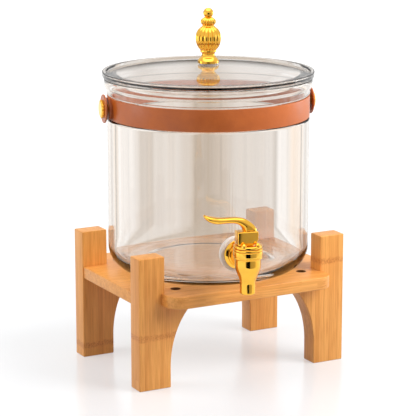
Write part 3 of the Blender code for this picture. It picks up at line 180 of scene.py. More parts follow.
def eased(outline, radius, closed=False, points=4):
    """The outline with each corner rounded by a short curve."""
    result = []
    count = len(outline)
    for i, corner in enumerate(outline):
        here = Vector(corner)
        if not closed and i in (0, count - 1):
            result.append(tuple(corner))
            continue
        before = Vector(outline[i - 1]) - here
        after = Vector(outline[(i + 1) % count]) - here
        if before.length < MERGE or after.length < MERGE or before.angle(after) > math.radians(165):
            result.append(tuple(corner))
            continue
        reach = min(radius, before.length * 0.45, after.length * 0.45)
        start = here + before.normalized() * reach
        end = here + after.normalized() * reach
        for k in range(points):
            share = k / (points - 1)
            spot = start * (1 - share) ** 2 + here * 2 * share * (1 - share) + end * share**2
            result.append(tuple(spot))
    return result


def soften(mesh, angle=SHARP_ANGLE):
    mesh.shade_smooth()
    mesh.set_sharp_from_angle(angle=angle)
    return mesh


def lathe_mesh(name, outline, steps=128):
    """A closed turned mesh about Z from (radius, height) points in millimetres."""
    points = []
    for radius, height in outline:
        here = (max(radius, 0.0), height)
        reach = math.dist(points[-1], here) if points else 0
        if reach > LONG_SEGMENT:
            # Rings near both ends keep the smooth shading of the corners out of the straight wall.
            last = points[-1]
            for share in (SUPPORT / reach, 1 - SUPPORT / reach):
                points.append(tuple(a + (b - a) * share for a, b in zip(last, here)))
        if not points or reach > 0.001:
            points.append(here)
    shape = bmesh.new()
    line = [shape.verts.new((radius * MM, 0, height * MM)) for radius, height in points]
    edges = [shape.edges.new(pair) for pair in zip(line, line[1:])]
    if min(points[0][0], points[-1][0]) > 0.001:
        edges.append(shape.edges.new((line[-1], line[0])))
    bmesh.ops.spin(
        shape, geom=line + edges, cent=(0, 0, 0), axis=(0, 0, 1), angle=2 * math.pi, steps=steps,
        use_merge=True, use_duplicate=False,
    )
    bmesh.ops.remove_doubles(shape, verts=shape.verts, dist=1e-6)
    bmesh.ops.recalc_face_normals(shape, faces=shape.faces)
    mesh = bpy.data.meshes.new(name)
    shape.to_mesh(mesh)
    shape.free()
    return soften(mesh)


def loft_mesh(name, rings, closed_path=False):
    """Skins rings of points, in metres, and caps both ends unless the path closes on itself."""
    shape = bmesh.new()
    rows = [[shape.verts.new(point) for point in ring] for ring in rings]
    pairs = list(zip(rows, rows[1:] + rows[:1])) if closed_path else list(zip(rows, rows[1:]))
    for first, second in pairs:
        for i in range(len(first)):
            j = (i + 1) % len(first)
            shape.faces.new((first[i], first[j], second[j], second[i]))
    if not closed_path:
        shape.faces.new(rows[0][::-1])
        shape.faces.new(rows[-1])
    bmesh.ops.recalc_face_normals(shape, faces=shape.faces)
    mesh = bpy.data.meshes.new(name)
    shape.to_mesh(mesh)
    shape.free()
    return soften(mesh)


def plate_mesh(name, outline, thickness):
    """A flat outline in XY, in millimetres, thickened evenly about its plane."""
    shape = bmesh.new()
    half = thickness * MM / 2
    low = [shape.verts.new((x * MM, y * MM, -half)) for x, y in outline]
    high = [shape.verts.new((x * MM, y * MM, half)) for x, y in outline]
    shape.faces.new(low[::-1])
    shape.faces.new(high)
    for i in range(len(outline)):
        j = (i + 1) % len(outline)
        shape.faces.new((low[i], low[j], high[j], high[i]))
    bmesh.ops.recalc_face_normals(shape, faces=shape.faces)
    mesh = bpy.data.meshes.new(name)
    shape.to_mesh(mesh)
    shape.free()
    return mesh


def box_mesh(name, low, high):
    """A plain box in millimetres, used as a cutter or as one half of a joined form."""
    return placed(
        plate_mesh(name, [(low[0], low[1]), (high[0], low[1]), (high[0], high[1]), (low[0], high[1])],
                   high[2] - low[2]),
        Matrix.Translation((0, 0, (low[2] + high[2]) / 2 * MM)),
    )


def add_object(mesh):
    obj = bpy.data.objects.new(mesh.name, mesh)
    bpy.context.scene.collection.objects.link(obj)
    return obj


def baked(obj):
    """The object's modifiers, applied."""
    bpy.context.view_layer.update()
    graph = bpy.context.evaluated_depsgraph_get()
    mesh = bpy.data.meshes.new_from_object(obj.evaluated_get(graph))
    obj.modifiers.clear()
    old = obj.data
    obj.data = mesh
    bpy.data.meshes.remove(old)
    mesh.name = obj.name
    return obj


def rounded(obj, width, segments=3, angle=40):
    """Rounds the outward edges only, so that inner corners stay square for what seats in them."""
    marked = bmesh.new()
    marked.from_mesh(obj.data)
    weight = marked.edges.layers.float.new("bevel_weight_edge")
    for edge in marked.edges:
        if edge.is_convex and edge.calc_face_angle(0) > math.radians(angle):
            edge[weight] = 1
    marked.to_mesh(obj.data)
    marked.free()
    modifier = obj.modifiers.new("Rounded edges", "BEVEL")
    modifier.width = width * MM
    modifier.segments = segments
    modifier.limit_method = "WEIGHT"
    return baked(obj)


def combined(obj, others, operation="DIFFERENCE"):
    """Cuts or joins the other meshes, one after another, and removes them."""
    helpers = []
    for mesh in others:
        helper = add_object(mesh)
        helpers.append(helper)
        modifier = obj.modifiers.new(operation.title(), "BOOLEAN")
        modifier.operation = operation
        modifier.solver = "EXACT"
        modifier.object = helper
    baked(obj)
    for helper in helpers:
        bpy.data.objects.remove(helper, do_unlink=True)
    return obj


def placed(mesh, matrix):
    """The mesh itself, moved."""
    mesh.transform(matrix)
    return mesh


def finish_piece(obj, body, material, slot, *nodes):
    """Gives the piece its finish and its body, and hides the CAD nodes that it stands for. The slot is not used."""
    obj.data.materials.clear()
    obj.data.materials.append(material)
    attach(obj, body)
    if nodes:
        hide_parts(*nodes)
    return obj


def turned_piece(name, outline, matrix, body, material, slot, *nodes, steps=128):
    """A turned piece in its place, standing for the CAD nodes named."""
    obj = add_object(placed(lathe_mesh(name, outline, steps), matrix))
    return finish_piece(obj, body, material, slot, *nodes)


# ---------------------------------------------------------------- geometry node trees


def new_tree(name, inputs):
    """An empty geometry tree with a geometry input, the named inputs, and a geometry output."""
    tree = bpy.data.node_groups.new(name, "GeometryNodeTree")
    tree.interface.new_socket("Geometry", in_out="INPUT", socket_type="NodeSocketGeometry")
    for label, kind, value in inputs:
        socket = tree.interface.new_socket(label, in_out="INPUT", socket_type=kind)
        if value is not None:
            socket.default_value = value
    tree.interface.new_socket("Geometry", in_out="OUTPUT", socket_type="NodeSocketGeometry")
    return tree, tree.nodes.new("NodeGroupInput"), tree.nodes.new("NodeGroupOutput")


def end_tree(tree, given, out, geometry):
    """Realizes instances, sets the material, and leads to the output."""
    real = tree.nodes.new("GeometryNodeRealizeInstances")
    paint = tree.nodes.new("GeometryNodeSetMaterial")
    tree.links.new(geometry, real.inputs["Geometry"])
    tree.links.new(real.outputs["Geometry"], paint.inputs["Geometry"])
    tree.links.new(given.outputs["Material"], paint.inputs["Material"])
    tree.links.new(paint.outputs["Geometry"], out.inputs["Geometry"])
    return tree


def repeated_tree():
    """Copies one piece onto every point, turned by the point's "turn" attribute."""
    tree, given, out = new_tree(
        "repeated_pieces",
        [("Piece", "NodeSocketObject", None), ("Size", "NodeSocketFloat", 1.0),
         ("Material", "NodeSocketMaterial", None)],
    )
    info = tree.nodes.new("GeometryNodeObjectInfo")
    info.inputs["As Instance"].default_value = True
    turn = tree.nodes.new("GeometryNodeInputNamedAttribute")
    turn.data_type = "FLOAT_VECTOR"
    turn.inputs["Name"].default_value = "turn"
    euler = tree.nodes.new("FunctionNodeEulerToRotation")
    copies = tree.nodes.new("GeometryNodeInstanceOnPoints")
    tree.links.new(given.outputs["Piece"], info.inputs["Object"])
    tree.links.new(turn.outputs["Attribute"], euler.inputs["Euler"])
    tree.links.new(given.outputs["Geometry"], copies.inputs["Points"])
    tree.links.new(info.outputs["Geometry"], copies.inputs["Instance"])
    tree.links.new(euler.outputs["Rotation"], copies.inputs["Rotation"])
    tree.links.new(given.outputs["Size"], copies.inputs["Scale"])
    return end_tree(tree, given, out, copies.outputs["Instances"])


def maths(tree, operation, first, second=None):
    node = tree.nodes.new("ShaderNodeMath")
    node.operation = operation
    for socket, value in zip(node.inputs, (first, second)):
        if value is None:
            continue
        if isinstance(value, (int, float)):
            socket.default_value = value
        else:
            tree.links.new(value, socket)
    return node.outputs[0]


def ribbed_tree():
    """Draws in the valleys between convex ribs, as deep as the "rib" attribute and the depth say."""
    tree, given, out = new_tree(
        "ribbed_turning",
        [("Ribs", "NodeSocketFloat", 16.0), ("Depth", "NodeSocketFloat", 0.085),
         ("Material", "NodeSocketMaterial", None)],
    )
    rib = tree.nodes.new("GeometryNodeInputNamedAttribute")
    rib.data_type = "FLOAT"
    rib.inputs["Name"].default_value = "rib"
    position = tree.nodes.new("GeometryNodeInputPosition")
    parts = tree.nodes.new("ShaderNodeSeparateXYZ")
    tree.links.new(position.outputs[0], parts.inputs[0])
    around = maths(tree, "ARCTAN2", parts.outputs["Y"], parts.outputs["X"])
    wave = maths(tree, "SINE", maths(tree, "MULTIPLY", maths(tree, "MULTIPLY", around, 0.5), given.outputs["Ribs"]))
    valley = maths(tree, "SUBTRACT", 1.0, maths(tree, "POWER", maths(tree, "ABSOLUTE", wave), 0.75))
    depth = maths(tree, "MULTIPLY", rib.outputs["Attribute"], given.outputs["Depth"])
    keep = maths(tree, "SUBTRACT", 1.0, maths(tree, "MULTIPLY", valley, depth))
    join = tree.nodes.new("ShaderNodeCombineXYZ")
    tree.links.new(maths(tree, "MULTIPLY", parts.outputs["X"], keep), join.inputs["X"])
    tree.links.new(maths(tree, "MULTIPLY", parts.outputs["Y"], keep), join.inputs["Y"])
    tree.links.new(parts.outputs["Z"], join.inputs["Z"])
    move = tree.nodes.new("GeometryNodeSetPosition")
    tree.links.new(given.outputs["Geometry"], move.inputs["Geometry"])
    tree.links.new(join.outputs[0], move.inputs["Position"])
    return end_tree(tree, given, out, move.outputs["Geometry"])


def coil_tree():
    """A helix of round wire, standing on the XY plane."""
    tree, given, out = new_tree(
        "coil_of_wire",
        [("Turns", "NodeSocketFloat", 4.0), ("Radius", "NodeSocketFloat", 0.0049),
         ("Height", "NodeSocketFloat", 0.0088), ("Wire", "NodeSocketFloat", 0.0004),
         ("Material", "NodeSocketMaterial", None)],
    )
    helix = tree.nodes.new("GeometryNodeCurveSpiral")
    helix.inputs["Resolution"].default_value = 32
    tree.links.new(given.outputs["Turns"], helix.inputs["Rotations"])
    tree.links.new(given.outputs["Radius"], helix.inputs["Start Radius"])
    tree.links.new(given.outputs["Radius"], helix.inputs["End Radius"])
    tree.links.new(given.outputs["Height"], helix.inputs["Height"])
    section = tree.nodes.new("GeometryNodeCurvePrimitiveCircle")
    section.inputs["Resolution"].default_value = 12
    tree.links.new(given.outputs["Wire"], section.inputs["Radius"])
    tube = tree.nodes.new("GeometryNodeCurveToMesh")
    tube.inputs["Fill Caps"].default_value = True
    tree.links.new(helix.outputs["Curve"], tube.inputs["Curve"])
    tree.links.new(section.outputs["Curve"], tube.inputs["Profile Curve"])
    return end_tree(tree, given, out, tube.outputs["Mesh"])


def through_tree(obj, tree, values):
    """The object's mesh after the tree, with its inputs given by name."""
    modifier = obj.modifiers.new("Shape", "NODES")
    modifier.node_group = tree
    names = {item.name: item.identifier for item in tree.interface.items_tree if item.in_out == "INPUT"}
    for name, value in values.items():
        modifier[names[name]] = value
    return baked(obj)


def repeated(name, piece_mesh, places, material):
    """One mesh of the piece at each (position, rotation), made by the tree for repeated pieces."""
    points = bpy.data.meshes.new(name)
    points.from_pydata([tuple(spot) for spot, _ in places], [], [])
    turn = points.attributes.new("turn", "FLOAT_VECTOR", "POINT")
    for i, (_, rotation) in enumerate(places):
        turn.data[i].vector = rotation
    obj = add_object(points)
    piece = add_object(piece_mesh)
    through_tree(obj, repeated_tree(), {"Piece": piece, "Size": 1.0, "Material": material})
    bpy.data.objects.remove(piece, do_unlink=True)
    return obj


# ---------------------------------------------------------------- materials


class Finish:
    """A new material with a Principled shader and helpers for its procedural nodes."""

    def __init__(self, name, colour, roughness, metallic=0.0):
        self.material = bpy.data.materials.new(name)
        self.material.use_nodes = True
        self.tree = self.material.node_tree
        self.shader = self.tree.nodes["Principled BSDF"]
        self.shader.inputs["Base Color"].default_value = (*colour, 1)
        self.shader.inputs["Roughness"].default_value = roughness
        self.shader.inputs["Metallic"].default_value = metallic
        self.material.diffuse_color = (*colour, 1)
        self.coordinates = self.tree.nodes.new("ShaderNodeTexCoord").outputs["Object"]

    def set(self, name, value):
        self.shader.inputs[name].default_value = value
        return self

    def link(self, output, name):
        self.tree.links.new(output, self.shader.inputs[name])
        return self

    def maths(self, operation, first, second=None):
        return maths(self.tree, operation, first, second)

    def stretched(self, scale, turn=(0, 0, 0)):
        mapping = self.tree.nodes.new("ShaderNodeMapping")
        mapping.inputs["Scale"].default_value = scale
        mapping.inputs["Rotation"].default_value = turn
        self.tree.links.new(self.coordinates, mapping.inputs["Vector"])
        return mapping.outputs["Vector"]

    def noise(self, scale, detail=3.0, roughness=0.5, vector=None, distortion=0.0):
        node = self.tree.nodes.new("ShaderNodeTexNoise")
        node.inputs["Scale"].default_value = scale
        node.inputs["Detail"].default_value = detail
        node.inputs["Roughness"].default_value = roughness
        node.inputs["Distortion"].default_value = distortion
        self.tree.links.new(vector or self.coordinates, node.inputs["Vector"])
        return node.outputs["Fac"]

    def cells(self, scale, feature="F1", output="Distance"):
        node = self.tree.nodes.new("ShaderNodeTexVoronoi")
        node.feature = feature
        node.inputs["Scale"].default_value = scale
        self.tree.links.new(self.coordinates, node.inputs["Vector"])
        return node.outputs[output]

    def spread(self, value, low, high, to_low=0.0, to_high=1.0):
        node = self.tree.nodes.new("ShaderNodeMapRange")
        node.interpolation_type = "SMOOTHSTEP"
        for name, number in (("From Min", low), ("From Max", high), ("To Min", to_low), ("To Max", to_high)):
            node.inputs[name].default_value = number
        self.tree.links.new(value, node.inputs["Value"])
        return node.outputs["Result"]

    def mix(self, share, first, second, kind="MIX"):
        node = self.tree.nodes.new("ShaderNodeMix")
        node.data_type = "RGBA"
        node.blend_type = kind
        sockets = (node.inputs[0], node.inputs[6], node.inputs[7])
        for socket, value in zip(sockets, (share, first, second)):
            if isinstance(value, (int, float)):
                socket.default_value = value
            elif isinstance(value, bpy.types.NodeSocket):
                self.tree.links.new(value, socket)
            else:
                socket.default_value = (*value, 1)
        return node.outputs[2]

    def veil(self, share):
        """Lets what is seen through glass fade into the backdrop, as under a photographer's veiling light."""
        paths = self.tree.nodes.new("ShaderNodeLightPath")
        faint = self.tree.nodes.new("ShaderNodeBsdfTransparent")
        mixed = self.tree.nodes.new("ShaderNodeMixShader")
        out = self.tree.nodes["Material Output"]
        self.tree.links.new(self.maths("MULTIPLY", paths.outputs["Is Transmission Ray"], share), mixed.inputs[0])
        self.tree.links.new(self.shader.outputs[0], mixed.inputs[1])
        self.tree.links.new(faint.outputs[0], mixed.inputs[2])
        self.tree.links.new(mixed.outputs[0], out.inputs["Surface"])

    def bump(self, height, distance, strength=1.0):
        node = self.tree.nodes.new("ShaderNodeBump")
        node.inputs["Distance"].default_value = distance
        node.inputs["Strength"].default_value = strength
        self.tree.links.new(height, node.inputs["Height"])
        return self.link(node.outputs["Normal"], "Normal")


def bamboo(name, look, grain, knuckles=(), layer_depth=0.0167, segment=1.0, shade_in_holes=False):
    """Side-pressed bamboo: narrow strips of unlike tone, long fibres, and knuckles across them."""
    made = Finish(name, look.bamboo_colour, look.bamboo_roughness)
    parts = made.tree.nodes.new("ShaderNodeSeparateXYZ")
    made.tree.links.new(made.coordinates, parts.inputs[0])
    axes = [parts.outputs[i] for i in range(3)]
    along = axes.pop("XYZ".index(grain))
    side, depth = axes
    strip = made.maths("FLOOR", made.maths("DIVIDE", side, look.strip_width))
    layer = made.maths("FLOOR", made.maths("DIVIDE", depth, layer_depth))
    code = made.maths("ADD", strip, made.maths("MULTIPLY", layer, 17.0))
    stagger = made.maths("MULTIPLY", made.maths("FRACT", made.maths("MULTIPLY", code, 0.37)), segment)
    block = made.maths("FLOOR", made.maths("DIVIDE", made.maths("ADD", along, stagger), segment))
    code = made.maths("ADD", code, made.maths("MULTIPLY", block, 131.0))
    tone = made.tree.nodes.new("ShaderNodeTexWhiteNoise")
    tone.noise_dimensions = "1D"
    made.tree.links.new(code, tone.inputs["W"])
    fibres = made.tree.nodes.new("ShaderNodeCombineXYZ")
    shift = made.maths("MULTIPLY", tone.outputs["Value"], 9.0)
    made.tree.links.new(side, fibres.inputs["X"])
    made.tree.links.new(depth, fibres.inputs["Y"])
    made.tree.links.new(made.maths("ADD", made.maths("MULTIPLY", along, 0.022), shift), fibres.inputs["Z"])
    fine = made.noise(1500.0, 5.0, 0.62, fibres.outputs[0])
    broad = made.noise(330.0, 3.0, 0.5, fibres.outputs[0])
    cloud = made.noise(26.0, 2.0, 0.5)
    pale = tuple(min(1.0, c * k) for c, k in zip(look.bamboo_colour, (1.12, 1.22, 1.42)))
    dark = tuple(c * k for c, k in zip(look.bamboo_colour, (0.74, 0.58, 0.40)))
    colour = made.mix(made.spread(tone.outputs["Value"], 0.0, 1.0, 0.1, 0.95), pale, look.bamboo_colour)
    colour = made.mix(made.spread(fine, 0.44, 0.68, 0.0, 0.72), colour, dark)
    colour = made.mix(made.spread(broad, 0.40, 0.70, 0.0, 0.50), colour, dark)
    colour = made.mix(made.spread(cloud, 0.35, 0.75, 0.0, 0.22), colour, pale)
    seam = made.maths("FRACT", made.maths("DIVIDE", side, look.strip_width))
    seam = made.spread(made.maths("ABSOLUTE", made.maths("SUBTRACT", seam, 0.5)), 0.462, 0.5, 0.0, 0.30)
    colour = made.mix(seam, colour, dark)
    for height in knuckles:
        wander = made.maths("MULTIPLY", made.noise(240.0, 4.0, 0.6), 0.0075)
        off = made.maths("SUBTRACT", made.maths("ADD", along, wander), height + 0.00375)
        mark = made.spread(made.maths("ABSOLUTE", off), 0.0012, 0.0042, 1.0, 0.0)
        speckle = made.spread(made.noise(900.0, 3.0, 0.6), 0.38, 0.66, 0.15, 0.85)
        brown = tuple(c * k for c, k in zip(look.bamboo_colour, (0.62, 0.42, 0.26)))
        colour = made.mix(made.maths("MULTIPLY", mark, speckle), colour, brown)
    # Painted shade: the walls of the screw counterbores, and a thin ring round them, are darkened almost to black to
    # stand for the shade down in the holes.
    if shade_in_holes:
        off_x = made.maths("SUBTRACT", made.maths("ABSOLUTE", parts.outputs["X"]), SCREW_X * MM)
        off_y = made.maths("ABSOLUTE", made.maths("SUBTRACT", parts.outputs["Y"], FRAME_SHIFT_Y))
        off_y = made.maths("SUBTRACT", off_y, LEG_CENTRE_Y * MM)
        apart = made.maths("SQRT", made.maths("ADD", made.maths("MULTIPLY", off_x, off_x),
                                              made.maths("MULTIPLY", off_y, off_y)))
        painted_hole_shade = tuple(c * k for c, k in zip(look.bamboo_colour, (0.10, 0.07, 0.06)))
        rim = COUNTERBORE * MM
        colour = made.mix(made.spread(apart, rim + 0.0001, rim + 0.0006, 0.9, 0.0), colour, painted_hole_shade)
    made.link(colour, "Base Color")
    made.link(made.spread(fine, 0.3, 0.8, look.bamboo_roughness - 0.05, look.bamboo_roughness + 0.13), "Roughness")
    made.set("Coat Weight", 0.18).set("Coat Roughness", 0.22)
    made.bump(fine, 0.00006, 0.5)
    made.veil(look.veil_behind_glass)
    return made.material


def clear_glass(name, look):
    """Clear, faintly warm glass with the slight waviness of a blown wall."""
    made = Finish(name, look.glass_tint, look.glass_roughness)
    made.set("Transmission Weight", 1.0).set("IOR", look.glass_ior)
    waves = made.noise(9.0, 1.0, 0.4, made.stretched((1, 1, 0.35)))
    made.bump(waves, look.glass_waviness, 1.0)
    return made.material


def leather(name, look):
    """Vegetable-tanned leather: fine pebbling, creases and uneven tone."""
    made = Finish(name, look.leather_colour, 0.5)
    made.set("Specular IOR Level", 0.75)
    cloud = made.noise(34.0, 4.0, 0.6)
    pores = made.noise(1300.0, 3.0, 0.6)
    grain = made.cells(620.0)
    pale = tuple(min(1.0, c * k) for c, k in zip(look.leather_colour, (1.12, 1.2, 1.5)))
    dark = tuple(c * k for c, k in zip(look.leather_colour, (0.78, 0.70, 0.6)))
    colour = made.mix(made.spread(cloud, 0.3, 0.7), dark, pale)
    colour = made.mix(0.5, colour, look.leather_colour)
    colour = made.mix(made.spread(pores, 0.5, 0.75, 0.0, 0.35), colour, dark)
    made.link(colour, "Base Color")
    made.link(made.spread(cloud, 0.3, 0.7, 0.34, 0.46), "Roughness")
    height = made.maths("ADD", made.maths("MULTIPLY", pores, 0.6), made.maths("MULTIPLY", grain, 0.8))
    made.bump(height, 0.00012, 0.55)
    return made.material


def polished_gold(name, look):
    """Bright gold plate over castings: almost a mirror, with faint handling haze."""
    made = Finish(name, look.gold_colour, look.gold_roughness, 1.0)
    haze = made.noise(85.0, 3.0, 0.55)
    deep = tuple(c * k for c, k in zip(look.gold_colour, (0.97, 0.92, 0.80)))
    made.link(made.mix(made.spread(haze, 0.35, 0.7), look.gold_colour, deep), "Base Color")
    made.link(made.spread(haze, 0.3, 0.75, look.gold_roughness, look.gold_roughness + 0.05), "Roughness")
    made.bump(made.noise(160.0, 2.0, 0.5), 0.000012, 0.6)
    return made.material


def silicone(name, look):
    """Milky silicone rubber with a fine matt skin."""
    made = Finish(name, look.silicone_colour, 0.46)
    made.set("Subsurface Weight", 0.35).set("Subsurface Radius", (0.004, 0.003, 0.0025))
    skin = made.noise(900.0, 2.0, 0.5)
    cloud = made.noise(120.0, 2.0, 0.5)
    warm = tuple(c * k for c, k in zip(look.silicone_colour, (0.98, 0.955, 0.93)))
    made.link(made.mix(made.spread(cloud, 0.35, 0.65), look.silicone_colour, warm), "Base Color")
    made.link(made.spread(skin, 0.3, 0.7, 0.38, 0.52), "Roughness")
    made.bump(skin, 0.00003, 0.5)
    return made.material


def steel(name, look, level=1.0):
    """Turned stainless steel with fine tool marks, or the same blackened, which on the shelf screws also stands in as
    painted shade down in their holes.
    """
    made = Finish(name, tuple(c * level for c in look.steel_colour), 0.26, 1.0)
    marks = made.noise(700.0, 3.0, 0.6, made.stretched((0.25, 0.25, 1.0)))
    made.link(made.spread(marks, 0.3, 0.7, 0.18, 0.36), "Roughness")
    bright, dull = (tuple(c * level * k for c in look.steel_colour) for k in (1.0, 0.86))
    made.link(made.mix(made.spread(marks, 0.3, 0.7), bright, dull), "Base Color")
    made.bump(marks, 0.00001, 0.5)
    return made.material


MADE = {}


def material_for(name, maker, *arguments):
    """Each finish is made once and shared by the pieces that have it."""
    if name not in MADE:
        MADE[name] = maker(name, *arguments)
    return MADE[name]


# ---------------------------------------------------------------- settings


def length_setting(name, description, default, low=0.0):
    return FloatProperty(name=name, description=description, default=default, min=low, unit="LENGTH", precision=5)


def colour_setting(name, description, default):
    return FloatVectorProperty(
        name=name, description=description, default=default, size=3, min=0.0, max=1.0, subtype="COLOR"
    )


def share_setting(name, description, default, high=1.0):
    return FloatProperty(name=name, description=description, default=default, min=0.0, max=high, subtype="FACTOR")


class StandSettings(bpy.types.PropertyGroup):
    bamboo_colour: colour_setting("Bamboo", "Middle tone of the bamboo", (0.84, 0.36, 0.078))
    bamboo_roughness: share_setting("Sheen", "Roughness of the lacquered bamboo", 0.42)
    veil_behind_glass: share_setting("Veil", "How far the stand fades where it is seen through the glass", 0.6)
    strip_width: length_setting("Strip width", "Width of one glued strip of bamboo", 5.4 * MM, 0.001)
    edge_rounding: length_setting("Edge rounding", "Radius of the sanded edges", 1.0 * MM)


class GlassSettings(bpy.types.PropertyGroup):
    glass_tint: colour_setting("Tint", "Colour that light takes on in the glass", (0.965, 0.945, 0.925))
    glass_roughness: share_setting("Roughness", "Roughness of the fire-polished surface", 0.0)
    glass_ior: FloatProperty(name="Refraction", description="Index of refraction", default=1.5, min=1.0, max=2.0)
    glass_waviness: length_setting("Waviness", "Depth of the slow waves in the wall", 0.00004)
    steps: IntProperty(name="Steps", description="Steps round the jar and the lid", default=192, min=24, max=512)


class LeatherSettings(bpy.types.PropertyGroup):
    leather_colour: colour_setting("Leather", "Middle tone of the leather", (0.52, 0.115, 0.011))
    edge_rounding: length_setting("Edge rounding", "Radius of the burnished edges", 0.5 * MM)


class MetalSettings(bpy.types.PropertyGroup):
    gold_colour: colour_setting("Gold", "Colour of the gold plate", (0.97, 0.545, 0.075))
    gold_roughness: share_setting("Gold roughness", "Roughness of the gold plate", 0.07)
    steel_colour: colour_setting("Steel", "Colour of the stainless pieces", (0.60, 0.60, 0.60))
    silicone_colour: colour_setting("Silicone", "Colour of the gaskets", (0.86, 0.78, 0.72))
    knob_ribs: IntProperty(name="Knob ribs", description="Ribs round the knob", default=16, min=6, max=40)
    rib_depth: share_setting("Rib depth", "Depth of the valleys as a share of the radius", 0.095, 0.3)
    milling: IntProperty(name="Milling", description="Scallops round each stud", default=18, min=12, max=60)
    spring_turns: FloatProperty(name="Spring turns", description="Turns of the valve spring", default=4.0, min=1.0)


class StudioSettings(bpy.types.PropertyGroup):
    world_level: share_setting("World", "Level of the plain light from all round", 0.42, 4.0)
    right_power: FloatProperty(name="Right light", description="Power of the right light", default=26.5, unit="POWER")
    left_power: FloatProperty(name="Left light", description="Power of the left light", default=14.0, unit="POWER")
    top_power: FloatProperty(name="Top light", description="Power of the light overhead", default=6.0, unit="POWER")
    floor_colour: colour_setting("Floor", "Colour of the floor", (0.40, 0.408, 0.42))
    floor_lift: share_setting("Floor lift", "White added to what the camera sees of the floor", 0.46, 2.0)
    camera_azimuth: FloatProperty(
        name="Azimuth", description="Camera's bearing from straight ahead", default=math.radians(-28.3),
        subtype="ANGLE",
    )
    camera_elevation: FloatProperty(
        name="Elevation", description="Camera's height above level", default=math.radians(12.61), subtype="ANGLE"
    )
    camera_distance: length_setting("Distance", "Camera's distance from its target", 1.81065)
    camera_target_height: length_setting("Target height", "Height of the camera's target", 0.15357)
    camera_lens: FloatProperty(name="Lens", description="Focal length on a 36 mm sensor", default=157.143)


# ---------------------------------------------------------------- operators


class DISPENSER_OT_stand(bpy.types.Operator):
    """Four bamboo legs with arched brackets and the shelf with its round-cornered ears"""

    bl_idname = "dispenser.stand"
    bl_label = "Stand"

    def leg(self, x_side):
        centre = STAND_HALF_X - FOOT_WIDTH - ARCH_RUN
        last = math.asin((UNDER_SHELF - BRACKET_LIP - ARCH_START) / ARCH_RISE)
        points = [
            (STAND_HALF_X, 0), (STAND_HALF_X, LEG_HEIGHT), (POST_INNER_X, LEG_HEIGHT), (POST_INNER_X, UNDER_SHELF)
        ]
        curve = []
        for i in range(28):
            angle = last * i / 27
            curve.append((centre + ARCH_RUN * math.cos(angle), ARCH_START + ARCH_RISE * math.sin(angle)))
        points.append((curve[-1][0], UNDER_SHELF))
        points += curve[::-1]
        points.append((STAND_HALF_X - FOOT_WIDTH, 0))
        return [(x_side * x, z) for x, z in points]

    def execute(self, context):
        look = context.scene.dispenser_stand
        upright = Matrix.Rotation(math.radians(90), 4, "X")
        knuckles = {"front_left": (0.052,), "back_left": (0.012,), "front_right": (0.104,), "back_right": (0.078,)}
        for y_side, depth in FRONT_AND_BACK:
            for x_side, width in LEFT_AND_RIGHT:
                place = f"{depth}_{width}"
                mesh = plate_mesh(f"bamboo_leg_{place}", self.leg(x_side), LEG_THICKNESS)
                mesh.transform(STAND_AT @ Matrix.Translation((0, y_side * LEG_CENTRE_Y * MM, 0)) @ upright)
                leg = rounded(add_object(mesh), look.edge_rounding / MM, 4, 30)
                soften(leg.data)
                finish = material_for(f"bamboo_upright_{place}", bamboo, look, "Z", knuckles[place])
                finish_piece(leg, "stand", finish, "bamboo", f"leg_{place}")
        self.shelf(look)
        return {"FINISHED"}

    def shelf(self, look):
        outline = []
        for x_side, y_side, start in ((1, 1, 0), (-1, 1, 90), (-1, -1, 180), (1, -1, 270)):
            outline += arc(
                x_side * (EAR_X - EAR_CORNER), y_side * (EAR_Y - EAR_CORNER), EAR_CORNER, start, start + 90, 14
            )
        shelf = rounded(add_object(plate_mesh("bamboo_shelf", outline, SHELF_THICKNESS)), look.edge_rounding / MM, 4)
        low, high = -SHELF_THICKNESS / 2, SHELF_THICKNESS / 2
        back = POST_INNER_Y - NOTCH_GAP
        sides = rounded(
            add_object(box_mesh("shelf_sides", (-SHELF_SIDE, -back, low), (SHELF_SIDE, back, high))),
            look.edge_rounding / MM, 4,
        )
        side_mesh = sides.data
        bpy.data.objects.remove(sides, do_unlink=True)
        combined(shelf, [side_mesh], "UNION")
        cutters = []
        for y_side in (-1, 1):
            for x_side in (-1, 1):
                xs = sorted((x_side * (POST_INNER_X - NOTCH_GAP), x_side * (SHELF_SIDE + 4)))
                ys = sorted((y_side * back, y_side * (STAND_HALF_Y + NOTCH_GAP)))
                cutters.append(box_mesh("notch", (xs[0], ys[0], -12), (xs[1], ys[1], 12)))
                bore = lathe_mesh(
                    "counterbore", [(0, 10), (COUNTERBORE, 10), (COUNTERBORE, high - COUNTERBORE_DEPTH),
                                    (2.2, high - COUNTERBORE_DEPTH), (2.2, -10), (0, -10)], 40)
                cutters.append(placed(bore, Matrix.Translation((x_side * SCREW_X * MM, y_side * LEG_CENTRE_Y * MM, 0))))
        combined(shelf, cutters)
        shelf.data.transform(STAND_AT @ Matrix.Translation((0, 0, (SHELF_TOP - SHELF_THICKNESS / 2) * MM)))
        soften(shelf.data)
        finish = material_for("bamboo_lengthwise", bamboo, look, "X", (), 0.006, 0.062, True)
        finish_piece(shelf, "stand", finish, "bamboo", "shelf")


